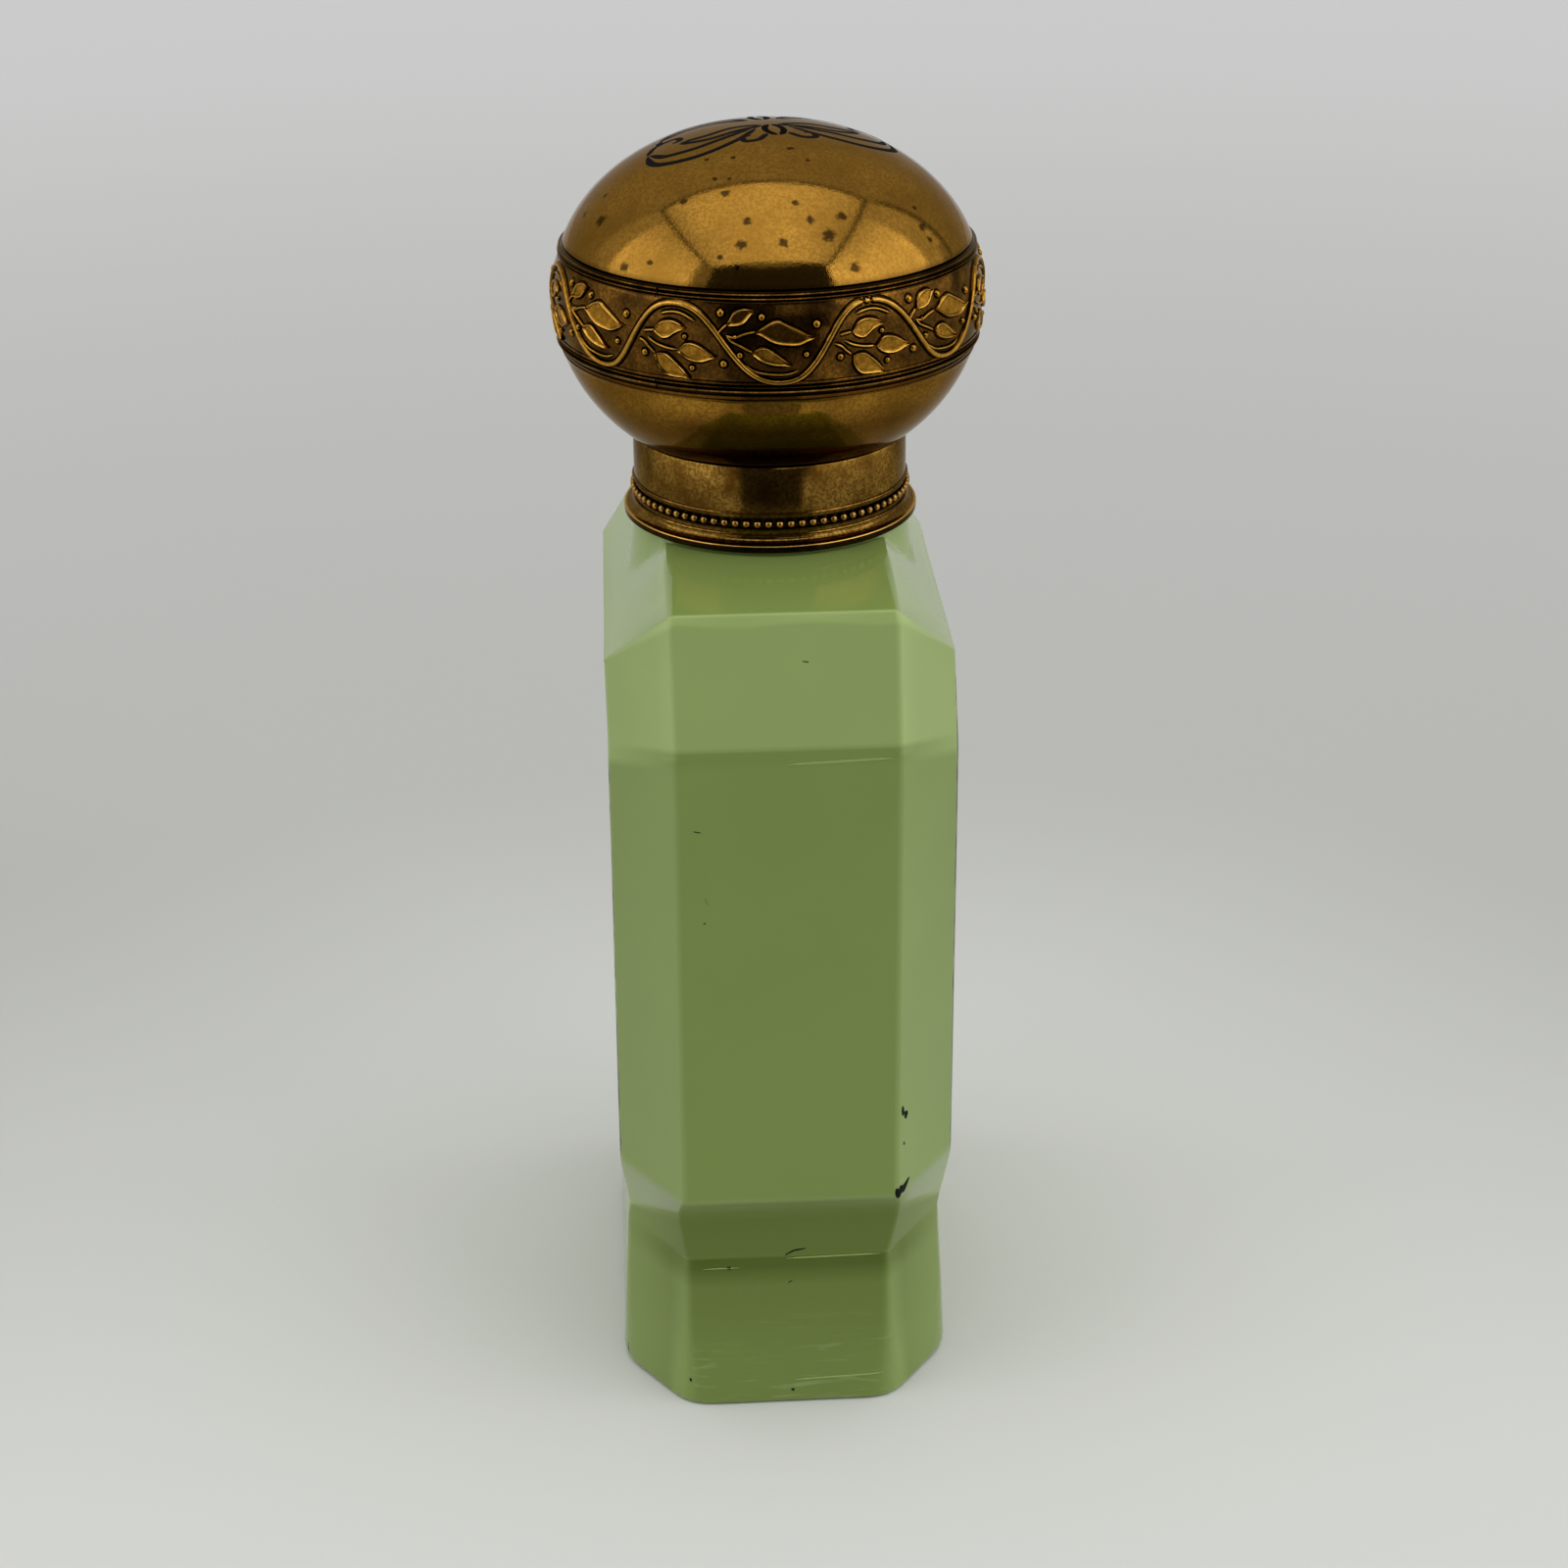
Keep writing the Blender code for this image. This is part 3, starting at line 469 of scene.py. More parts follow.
glass_body = add_piece("glass_body", points, faces, sharp=28.0)
add_values(glass_body, "tone", tone_values)
add_values(glass_body, "bevel_reflection", bevel_reflection_values)
glass_body.data.materials.append(jade)
flats = glass_body.modifiers.new("flat panels", "WEIGHTED_NORMAL")
flats.keep_sharp = True
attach(glass_body, "bottle")
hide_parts("glass_bottle")


# Chips in the colour
# Small flakes lost from the fired colour at the right-hand front arris and on the foot, down to the
# dark glass, and a few hair scratches. Each is a thin patch that lies on the glass.
CHIP_LIFT = 0.03
CHAMFER_FOOT = Vector((BROAD_X - CORNER_ACROSS, -END_Y, 0.0))
CHAMFER_HEAD = Vector((BROAD_X, -(END_Y - CORNER_ALONG), 0.0))
glass_tree = BVHTree.FromPolygons(points, faces)


def grainy(name, grain_size, detail, dark, light, roughness, specular=0.5):
    """A plain material, finely mottled between two colours."""
    material, tree, shader, place = new_material(name)
    grain = add_node(tree, "ShaderNodeTexNoise", {
        "Vector": place, "Scale": 1.0 / (grain_size * MM), "Detail": detail})
    mottled = add_node(tree, "ShaderNodeMix", {
        0: grain.outputs["Fac"], 6: linear(dark), 7: linear(light)}, data_type="RGBA")
    tree.links.new(mottled.outputs[2], shader.inputs["Base Color"])
    shader.inputs["Roughness"].default_value = roughness
    shader.inputs["Specular IOR Level"].default_value = specular
    return material


# Bare glass where the colour has flaked off: near black, dull and a little gritty.
dark_glass = grainy("bare_dark_glass_in_a_chip", grain_size=0.4, detail=3.0,
                    dark="#050703", light="#10150C", roughness=0.6, specular=0.1)

# Outlines of the chips on the cut corner: distance from the front arris and height, in millimetres.
chamfer_chips = [
    [(-0.4, 26.2), (-0.1, 26.75), (0.25, 26.5), (0.6, 26.85), (1.2, 26.6), (2.5, 26.95), (2.0, 26.2),
     (1.4, 25.6), (0.9, 25.75), (0.5, 25.3), (0.0, 25.35)],
    [(0.75, 36.3), (1.05, 36.25), (1.2, 35.5), (1.0, 35.1), (0.7, 35.6)],
    [(1.25, 35.5), (1.75, 35.4), (2.0, 35.0), (1.6, 34.5), (1.3, 34.8)],
    [(1.15, 31.85), (1.35, 31.8), (1.35, 31.5), (1.15, 31.5)],
]
# Specks on the front, most on the foot: sideways place, height and radius, in millimetres.
SPECK_POINTS = 12
SPECK_UNEVENNESS = 0.25
SPECK_BUMPS = 2.7
front_specks = [(-6.7, 17.05, 0.2), (-11.45, 3.1, 0.26), (0.0, 1.7, 0.17), (-8.5, 58.8, 0.1)]
# Hair scratches on the front: places along each, as sideways place and height.
SCRATCH_WIDTH = 0.1
scratches = [
    [(-0.62, 18.4), (0.35, 18.95), (1.5, 19.1)],
    [(-0.35, 15.0), (0.06, 15.3)],
    [(1.65, 87.05), (2.2, 86.95)],
    [(-8.4, 61.6), (-8.15, 60.9)],
    [(-9.4, 69.1), (-8.7, 68.95)],
]


def soft_line(knots, steps=7):
    """A smooth path through a few places."""
    path = []
    for index in range(len(knots) - 1):
        before = knots[max(0, index - 1)]
        start, end = knots[index], knots[index + 1]
        after = knots[min(len(knots) - 1, index + 2)]
        for step in range(steps + (index == len(knots) - 2)):
            t = step / steps
            spot = []
            for axis in (0, 1):
                a, b, c, d = before[axis], start[axis], end[axis], after[axis]
                spot.append(0.5 * (2.0 * b + (c - a) * t + (2.0 * a - 5.0 * b + 4.0 * c - d) * t * t
                                   + (3.0 * b - a - 3.0 * c + d) * t ** 3))
            path.append(tuple(spot))
    return path


def on_glass(place):
    """The point of the glass nearest to a place, lifted just clear of it."""
    spot, normal = glass_tree.find_nearest(place * MM)[:2]
    outward = 1.0 if normal.x * place.x + normal.y * place.y > 0.0 else -1.0
    return spot + normal * outward * CHIP_LIFT * MM


along = (CHAMFER_HEAD - CHAMFER_FOOT).normalized()
patches = []
for outline in chamfer_chips:
    rounded = soft_line(outline + outline[:1], 3)[:-1]
    patches.append([CHAMFER_FOOT + along * distance + Vector((0.0, 0.0, height))
                    for distance, height in rounded])
for across, height, radius in front_specks:
    turns_round = [2.0 * pi * step / SPECK_POINTS for step in range(SPECK_POINTS)]
    reaches = [radius * (1.0 + SPECK_UNEVENNESS * sin(SPECK_BUMPS * turn + across)) for turn in turns_round]
    patches.append([Vector((across + reach * cos(turn), -END_Y, height + reach * sin(turn)))
                    for turn, reach in zip(turns_round, reaches)])
for knots in scratches:
    line = soft_line(knots, 4)
    upper = [Vector((across, -END_Y, height + SCRATCH_WIDTH / 2.0)) for across, height in line]
    lower = [Vector((across, -END_Y, height - SCRATCH_WIDTH / 2.0)) for across, height in reversed(line)]
    patches.append(upper + lower)
CHIP_ROWS = (1.0, 0.75, 0.5, 0.25)
chip_points = []
chip_faces = []
for patch in patches:
    middle = sum(patch, Vector()) / len(patch)
    first = len(chip_points)
    count = len(patch)
    for share in CHIP_ROWS:
        chip_points += [on_glass(middle.lerp(spot, share)) for spot in patch]
    chip_points.append(on_glass(middle))
    for step in range(count):
        after = (step + 1) % count
        for outer in range(first, first + count * (len(CHIP_ROWS) - 1), count):
            chip_faces.append((outer + step, outer + after, outer + count + after, outer + count + step))
        inner = len(chip_points) - 1 - count
        chip_faces.append((inner + step, inner + after, inner + count))

# Fine raised lines that the mould left on the front, painted paler as highlights where they catch the
# light: left and right end, as sideways place and height, and width.
MOULD_LINE_PROUD = 0.03
MOULD_LINE_STEPS = 12
MOULD_LINE_HIGHLIGHT = 1.15
mould_lines = [
    ((0.1, 76.1), (10.6, 76.45), 0.26),
    ((0.1, 2.9), (10.2, 3.3), 0.18),
    ((-9.5, 17.0), (-5.5, 17.05), 0.1),
    ((-0.6, 18.0), (9.6, 18.15), 0.18),
]
line_points = []
line_faces = []
for (left, left_height), (right, right_height), full_width in mould_lines:
    for step in range(MOULD_LINE_STEPS + 1):
        share = step / MOULD_LINE_STEPS
        spot = Vector((left + (right - left) * share, -END_Y, 0.0))
        spot.z = left_height + (right_height - left_height) * share
        width = full_width * (1.0 - abs(2.0 * share - 1.0) ** 4)
        for side in (0.5, 0.0, -0.5):
            proud = MOULD_LINE_PROUD if side == 0.0 else -CHIP_LIFT
            lifted = on_glass(spot + Vector((0.0, 0.0, side * width)))
            line_points.append(lifted - Vector((0.0, proud * MM, 0.0)))
        first = len(line_points) - 3
        if step:
            for edge in (first, first + 1):
                line_faces.append((edge - 3, edge - 2, edge + 1, edge))
lines = add_piece("mould_lines", line_points, line_faces)
# Painted highlight: the lines get a paler tone than the glass round them.
add_values(lines, "tone", [MOULD_LINE_HIGHLIGHT] * len(line_points))
lines.data.materials.append(jade)
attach(lines, "bottle")

chips = add_piece("worn_chips", chip_points, chip_faces)
chips.data.materials.append(dark_glass)
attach(chips, "bottle")


# Neck plaster
# A bed of fine plaster, poured between the glass neck and the collar, where it set and holds the collar.
# It is chalk white and matt, and hardly shows.
def dress(node_name, material):
    """Give a solid of the frame another material."""
    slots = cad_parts[node_name].data.materials
    slots.clear()
    slots.append(material)


plaster = grainy("set_plaster", grain_size=0.6, detail=5.0, dark="#CFCAC0", light="#E6E2D9", roughness=0.9)
dress("neck_plaster", plaster)


# Collar
# A ferrule spun from brass sheet and bedded on the neck in plaster: plain sleeve, a channel for the beads
# between two fine lines, a cove and a rolled foot. The brass has aged to a mottled brown gold.
TURN_STEPS = 160
collar_low, collar_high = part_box("collar")
COLLAR_TOP = collar_high.z / MM
COLLAR_BOTTOM = collar_low.z / MM
FOOT_RADIUS = collar_high.x / MM
SLEEVE_RADIUS = FOOT_RADIUS - 1.1
SLEEVE_WALL = 0.9
BEAD_LEVEL = COLLAR_BOTTOM + 2.75
BEAD_RADIUS = 0.43


def arc(centre_radius, centre_height, radius, start, end, steps):
    """Points of a round stretch of a turned profile, from one angle to another in degrees."""
    points = []
    for index in range(steps + 1):
        angle = radians(start + (end - start) * index / steps)
        points.append((centre_radius + radius * cos(angle), centre_height + radius * sin(angle)))
    return points


def half_round(radius, height, width, proud, steps=4):
    """A fine raised line round a turned wall, from its upper edge to its lower one."""
    points = []
    for index in range(steps + 1):
        angle = pi * index / steps
        points.append((radius + proud * sin(angle), height + width / 2.0 * cos(angle)))
    return points


def turned(name, profile, dirt_shade_and_highlight, steps=TURN_STEPS):
    """A piece turned from a closed profile of (radius, height), which runs down its outer side.

    Its dirt, painted shade and painted highlight are worked out from radius, height and how far a point
    faces the front, from -1 to 1.
    """
    points = []
    values = []
    starts = []
    for radius, height in profile:
        starts.append(len(points))
        count = 1 if radius == 0.0 else steps
        for step in range(count):
            angle = 2.0 * pi * step / count
            points.append(Vector((radius * cos(angle), radius * sin(angle), height)) * MM)
            values.append(dirt_shade_and_highlight(radius, height, -sin(angle)))
    faces = []
    for index in range(len(profile)):
        following = (index + 1) % len(profile)
        upper_round = profile[index][0] > 0.0
        lower_round = profile[following][0] > 0.0
        for step in range(steps):
            after = (step + 1) % steps
            upper, lower = starts[index], starts[following]
            if upper_round and lower_round:
                faces.append((upper + step, lower + step, lower + after, upper + after))
            elif lower_round:
                faces.append((upper, lower + step, lower + after))
            elif upper_round:
                faces.append((upper + step, lower, upper + after))
    piece = add_piece(name, points, faces)
    add_values(piece, "dirt_shade_and_highlight", values)
    return piece


BRASS_GRAIN = 0.34
PIT_FRAY = 0.5


def aged_brass(name, bright, dark, brown, blotch_size, blotch_share, speck_share, roughness, pits=()):
    """Aged brass: mottled bright and dark, finely grained, brown with dirt and painted shade, and rubbed
    bright with painted highlights.
    """
    material, tree, shader, place = new_material(name)
    blotch = add_node(tree, "ShaderNodeTexNoise", {
        "Vector": place, "Scale": 1.0 / (blotch_size * MM), "Detail": 5.0, "Roughness": 0.6})
    mottle = add_node(tree, "ShaderNodeMapRange", {
        "Value": blotch.outputs["Fac"], "From Min": 0.5 - blotch_share, "From Max": 0.5 + blotch_share})
    base = add_node(tree, "ShaderNodeMix", {
        0: mottle.outputs["Result"], 6: linear(dark), 7: linear(bright)}, data_type="RGBA")
    grain = add_node(tree, "ShaderNodeTexNoise", {
        "Vector": place, "Scale": 1.0 / (BRASS_GRAIN * MM), "Detail": 2.0, "Roughness": 0.7})
    specks = add_node(tree, "ShaderNodeMapRange", {
        "Value": grain.outputs["Fac"], "From Min": 0.42, "From Max": 0.58,
        "To Min": speck_share, "To Max": 0.0})
    grained = add_node(tree, "ShaderNodeMix", {
        0: specks.outputs["Result"], 6: base.outputs[2], 7: linear(dark)}, data_type="RGBA")
    # The stored share darkens the brass towards brown for dirt and for painted shade.
    corner = add_node(tree, "ShaderNodeAttribute", {}, attribute_name="dirt_shade_and_highlight")
    dirt_and_shade_mixed = add_node(tree, "ShaderNodeMix", {
        0: corner.outputs["Fac"], 6: grained.outputs[2], 7: linear(brown)}, data_type="RGBA")
    # Below zero the share makes the brass brighter: partly real rubbing, partly a painted highlight.
    ridge = add_node(tree, "ShaderNodeMath", {0: corner.outputs["Fac"], 1: -1.0}, operation="MULTIPLY")
    rubbed_and_highlit = add_node(tree, "ShaderNodeMix", {
        0: ridge.outputs["Value"], 6: dirt_and_shade_mixed.outputs[2], 7: linear("#E4B45C")}, data_type="RGBA")
    colour = rubbed_and_highlit.outputs[2]
    if pits:
        # Each pit is a dark spot with a frayed edge round its own place.
        fray = add_node(tree, "ShaderNodeTexNoise", {
            "Vector": place, "Scale": 1.0 / (PIT_FRAY * MM), "Detail": 3.0})
        nearest = None
        for spot, radius in pits:
            away = add_node(tree, "ShaderNodeVectorMath", {0: place, 1: spot}, operation="DISTANCE")
            share = add_node(tree, "ShaderNodeMath", {
                0: away.outputs["Value"], 1: radius}, operation="DIVIDE")
            if nearest:
                share = add_node(tree, "ShaderNodeMath", {
                    0: nearest.outputs["Value"], 1: share.outputs["Value"]}, operation="MINIMUM")
            nearest = share
        frayed = add_node(tree, "ShaderNodeMath", {
            0: fray.outputs["Fac"], 1: 1.6, 2: nearest.outputs["Value"]}, operation="MULTIPLY_ADD")
        pitted = add_node(tree, "ShaderNodeMapRange", {
            "Value": frayed.outputs["Value"], "From Min": 1.35, "From Max": 1.9,
            "To Min": 0.85, "To Max": 0.0})
        spotted = add_node(tree, "ShaderNodeMix", {
            0: pitted.outputs["Result"], 6: colour, 7: linear("#1E140A")}, data_type="RGBA")
        colour = spotted.outputs[2]
    tree.links.new(colour, shader.inputs["Base Color"])
    shader.inputs["Metallic"].default_value = 1.0
    shader.inputs["Specular Tint"].default_value = linear("#DDD2C2")
    dull = add_node(tree, "ShaderNodeMapRange", {
        "Value": blotch.outputs["Fac"], "From Min": 0.3, "From Max": 0.7,
        "To Min": roughness + 0.06, "To Max": roughness})
    tree.links.new(dull.outputs["Result"], shader.inputs["Roughness"])
    pitting = add_node(tree, "ShaderNodeBump", {
        "Height": grain.outputs["Fac"], "Strength": 0.2, "Distance": 0.03 * MM})
    tree.links.new(pitting.outputs["Normal"], shader.inputs["Normal"])
    return material


# Places on the profile: the two fine lines beside the channel, the rolled lip and the cove over it.
LINE_WIDTH = 0.3
LINE_PROUD = 0.22
CHANNEL_DEPTH = 0.3
CHANNEL_SLANT = 0.1
EDGE_ROUND = 0.25
EDGE_SOFT = 0.07
FOOT_CUT = 0.12
LIP_ROUND = 0.14
COVE_STEPS = 8
TOP_FLANGE_WIDTH = 0.7
TOP_FLANGE_THICK = 0.6
BEAD_ROOM = 0.12
UPPER_LINE_RISE = 1.05
LOWER_LINE_FALL = 1.1
LIP_RISE = 0.62
COVE_GAP = 0.2
bead_half = BEAD_RADIUS + BEAD_ROOM
upper_line = BEAD_LEVEL + UPPER_LINE_RISE
lower_line = BEAD_LEVEL - LOWER_LINE_FALL
lip_centre = FOOT_RADIUS - LIP_ROUND
lip_level = COLLAR_BOTTOM + LIP_RISE
cove_top = lower_line - COVE_GAP
channel_radius = SLEEVE_RADIUS - CHANNEL_DEPTH
inner_radius = SLEEVE_RADIUS - SLEEVE_WALL
cove = []
for index in range(COVE_STEPS + 1):
    angle = radians(90.0 * index / COVE_STEPS)
    cove.append((lip_centre - (lip_centre - SLEEVE_RADIUS) * cos(angle),
                 cove_top - (cove_top - lip_level - LIP_ROUND) * sin(angle)))
collar_profile = [
    (SLEEVE_RADIUS - EDGE_ROUND, COLLAR_TOP),
    (SLEEVE_RADIUS - EDGE_SOFT, COLLAR_TOP - EDGE_SOFT),
    (SLEEVE_RADIUS, COLLAR_TOP - EDGE_ROUND),
    *half_round(SLEEVE_RADIUS, upper_line, LINE_WIDTH, LINE_PROUD),
    (SLEEVE_RADIUS, BEAD_LEVEL + bead_half),
    (channel_radius, BEAD_LEVEL + bead_half - CHANNEL_SLANT),
    (channel_radius, BEAD_LEVEL - bead_half + CHANNEL_SLANT),
    (SLEEVE_RADIUS, BEAD_LEVEL - bead_half),
    *half_round(SLEEVE_RADIUS, lower_line, LINE_WIDTH, LINE_PROUD),
    *cove,
    *arc(lip_centre, lip_level, LIP_ROUND, 90.0, 0.0, 4),
    (FOOT_RADIUS, COLLAR_BOTTOM + FOOT_CUT),
    (FOOT_RADIUS - FOOT_CUT, COLLAR_BOTTOM),
    (inner_radius, COLLAR_BOTTOM),
    (inner_radius, COLLAR_TOP - TOP_FLANGE_THICK),
    (inner_radius - TOP_FLANGE_WIDTH, COLLAR_TOP - TOP_FLANGE_THICK),
    (inner_radius - TOP_FLANGE_WIDTH, COLLAR_TOP),
]

# How dark each place is made, for dirt and for painted shade: 1 is darkest, and less than 0 is rubbed
# bright and painted as a highlight.
FOOT_EDGE_HIGHLIGHT = -0.7
CAKED_DIRT_AND_SHADE = 0.95
LOWER_DIRT_AND_SHADE = 0.5
FLANK_SHADE = 0.7
FLANK_START, FLANK_FADE = 0.6, 0.15
FRONT_SHADE = 0.12
FRONT_START, FRONT_FADE = 0.9, 0.07


def collar_dirt_and_shade(radius, height, front):
    """Dirt and painted shade in the channel, under the foot's lip and below the upper line; painted shade
    for the dark reflections on the flanks and in front; a painted highlight along the foot's edge.
    """
    if radius > lip_centre - 0.01:
        # The foot's edge gets a painted highlight; the wall under its lip gets dirt and painted shade.
        return FOOT_EDGE_HIGHLIGHT if height > lip_level + 0.02 else CAKED_DIRT_AND_SHADE
    if abs(height - BEAD_LEVEL) < bead_half + 0.05:
        return CAKED_DIRT_AND_SHADE
    if height < upper_line + 0.2:
        return LOWER_DIRT_AND_SHADE
    # Painted shade on the flanks and in front stands for the dark walls that the sleeve reflects.
    flank = FLANK_SHADE * min(1.0, max(0.0, (FLANK_START - front) / FLANK_FADE))
    return max(flank, FRONT_SHADE * min(1.0, max(0.0, (front - FRONT_START) / FRONT_FADE)))


collar_ring = turned("collar_ring", collar_profile, collar_dirt_and_shade)
collar_ring.data.materials.append(
    aged_brass("spun_brass_aged_brown", "#D6A54A", "#6A4815", "#120A04",
               blotch_size=4.0, blotch_share=0.2, speck_share=0.75, roughness=0.11))
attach(collar_ring, "bottle")
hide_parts("collar")


# Bead ring
# Beaded brass wire laid in the collar's channel and soldered there: a row of small round beads.
# Their tops are rubbed, and dark dirt lies between them.
BEAD_PITCH = 1.13
BEAD_DIRT_DEPTH = 0.35
BEAD_DIRT_START = 0.1
bead_count = round(2.0 * pi * SLEEVE_RADIUS / BEAD_PITCH)
beads = bmesh.new()
for index in range(bead_count):
    turn = 2.0 * pi * (index + 0.5) / bead_count
    centre = Vector((SLEEVE_RADIUS * cos(turn), SLEEVE_RADIUS * sin(turn), BEAD_LEVEL)) * MM
    bmesh.ops.create_icosphere(
        beads, subdivisions=2, radius=BEAD_RADIUS * MM, matrix=Matrix.Translation(centre))
bead_mesh = bpy.data.meshes.new("collar_beads")
beads.to_mesh(bead_mesh)
beads.free()
bead_mesh.shade_smooth()
collar_beads = bpy.data.objects.new("collar_beads", bead_mesh)
bpy.context.scene.collection.objects.link(collar_beads)
add_values(collar_beads, "dirt_shade_and_highlight", [
    min(1.0, 1.0 - (hypot(v.co.x, v.co.y) / MM - SLEEVE_RADIUS + BEAD_DIRT_START) / BEAD_DIRT_DEPTH)
    for v in bead_mesh.vertices])
collar_beads.data.materials.append(
    aged_brass("rubbed_brass_beads", "#AE8344", "#7C5826", "#120A04",
               blotch_size=1.0, blotch_share=0.2, speck_share=0.3, roughness=0.12))
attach(collar_beads, "bottle")
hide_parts("bead_ring")


# Sifter head and thread shell
# Plain brass stampings with a rolled thread: the spout under the cap, held by the collar's lip, and the
# cup soldered in the ball's mouth. The cap covers them, so they have stayed a paler gold.
plain_brass = aged_brass("plain_stamped_brass", "#C09A52", "#8E6C32", "#3A2A14",
                         blotch_size=8.0, blotch_share=0.2, speck_share=0.2, roughness=0.3)
for node_name in ("sifter_head", "thread_shell"):
    dress(node_name, plain_brass)


# Cap liner
# A loose disc punched from waxed card, which lies in the cup above the thread and closes the sifter's
# holes. It is fawn and dull.
card = grainy("waxed_card", grain_size=0.8, detail=6.0, dark="#A78F6C", light="#C6B08C", roughness=0.75)
dress("cap_liner", card)


# Cap bowl
# The lower half of the ball, spun from brass sheet, with a fine line under the band and a rolled mouth.
# It is soldered to the upper half under the band, and it is darkest round its mouth, with dirt and, in
# front, painted shade.
bowl_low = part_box("cap_bowl")[0]
dome_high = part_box("cap_dome")[1]
band_low, band_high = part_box("vine_band")
BALL_RADIUS = 21.9
BALL_BOTTOM = bowl_low.z / MM
BALL_TOP = dome_high.z / MM
UPPER_HEIGHT = 17.0
LOWER_HEIGHT = 18.5
BALL_POWER = 2.08
BALL_MIDDLE = BALL_TOP - UPPER_HEIGHT
BAND_BOTTOM = band_low.z / MM
BAND_TOP = band_high.z / MM
BALL_WALL = 1.2
MOUTH_BORE = 13.3
SEAT_SINK = 0.6
SEAT_GAP = 0.1
JOINT_HALF_GAP = 0.15
AXIS_RADIUS = 0.001
BOWL_LINE_FALL = 0.55
BOWL_LINE_WIDTH = 0.22
BOWL_LINE_PROUD = 0.08
MOUTH_ROLL = 0.25


def ball_share(share):
    """The share of the ball's radius at a share of its height, or the other way round."""
    return max(0.0, 1.0 - abs(share) ** BALL_POWER) ** (1.0 / BALL_POWER)


def ball_radius(height, proud=0.0):
    """Radius of the ball's outline at a height, moved out by an amount."""
    half_height = UPPER_HEIGHT if height > BALL_MIDDLE else LOWER_HEIGHT
    return (BALL_RADIUS + proud) * ball_share((height - BALL_MIDDLE) / (half_height + proud))


def ball_arc(top, bottom, proud, steps):
    """The ball's outline between two heights on one side of its middle, evenly spaced by angle."""
    half_height = (UPPER_HEIGHT if top > BALL_MIDDLE + AXIS_RADIUS else LOWER_HEIGHT) + proud
    start = asin(min(1.0, (top - BALL_MIDDLE) / half_height))
    end = asin(max(-1.0, (bottom - BALL_MIDDLE) / half_height))
    points = []
    for index in range(steps + 1):
        share = sin(start + (end - start) * index / steps)
        radius = (BALL_RADIUS + proud) * ball_share(share)
        points.append((radius if radius > AXIS_RADIUS else 0.0, BALL_MIDDLE + half_height * share))
    return points


bowl_seat = BAND_BOTTOM - SEAT_GAP
bowl_joint = BALL_MIDDLE - JOINT_HALF_GAP
line_level = BAND_BOTTOM - BOWL_LINE_FALL
mouth_share = ball_share(MOUTH_BORE / (BALL_RADIUS - BALL_WALL))
bowl_inner_bottom = BALL_MIDDLE - (LOWER_HEIGHT - BALL_WALL) * mouth_share
bowl_profile = [
    *ball_arc(bowl_joint, bowl_seat, -SEAT_SINK, 6),
    (ball_radius(bowl_seat), bowl_seat),
    *half_round(ball_radius(line_level), line_level, BOWL_LINE_WIDTH, BOWL_LINE_PROUD),
    *ball_arc(line_level - 0.3, BALL_BOTTOM + MOUTH_ROLL, 0.0, 28),
    (ball_radius(BALL_BOTTOM) - 0.15, BALL_BOTTOM + 0.02),
    (ball_radius(BALL_BOTTOM) - 0.45, BALL_BOTTOM),
    (MOUTH_BORE, BALL_BOTTOM),
    *reversed(ball_arc(bowl_joint, bowl_inner_bottom, -BALL_WALL, 8)),
]

# Dirt and painted shade round the mouth: how strong each is, how high it reaches and over what height it
# fades. In front, painted shade stands for the dark gap under the mouth and the dark front it reflects.
BAND_EDGE_DIRT = 0.6
MOUTH_DIRT, MOUTH_DIRT_TOP, MOUTH_DIRT_FADE = 0.6, 4.5, 4.0
BOWL_FRONT_SHADE, BOWL_FRONT_SHADE_TOP, BOWL_FRONT_SHADE_FADE = 0.8, 7.5, 2.5
MOUTH_SHADE_TOP, MOUTH_SHADE_SLOPE, MOUTH_SHADE_FADE = -2.1, 0.3, 0.4


def bowl_dirt_and_shade(radius, height, front):
    """Dirt lies under the band's edge and round the mouth; in front, painted shade makes a dark crescent
    just above the mouth and a brown painted reflection above that.
    """
    if height > line_level - 0.05:
        return BAND_EDGE_DIRT
    above_mouth = height - BALL_BOTTOM
    # Painted shade: a dark crescent over the mouth, reaching highest in front.
    mouth_shade_top = MOUTH_SHADE_TOP + MOUTH_SHADE_SLOPE * radius * front
    mouth_shade = min(1.0, max(0.0, (mouth_shade_top - above_mouth) / MOUTH_SHADE_FADE))
    # Painted reflection of the dark front: brown that grows towards the front.
    low = min(1.0, max(0.0, (BOWL_FRONT_SHADE_TOP - above_mouth) / BOWL_FRONT_SHADE_FADE))
    brown = BOWL_FRONT_SHADE * max(0.0, front) ** 2 * low
    dull = MOUTH_DIRT * min(1.0, max(0.0, (MOUTH_DIRT_TOP - above_mouth) / MOUTH_DIRT_FADE))
    return max(mouth_shade, brown, dull)


bowl_half = turned("bowl_half", bowl_profile, bowl_dirt_and_shade)
bowl_half.data.materials.append(
    aged_brass("spun_brass_bowl_aged", "#A87A2A", "#664414", "#2E1406",
               blotch_size=7.0, blotch_share=0.2, speck_share=0.6, roughness=0.08))
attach(bowl_half, "ball_cap")
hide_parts("cap_bowl")


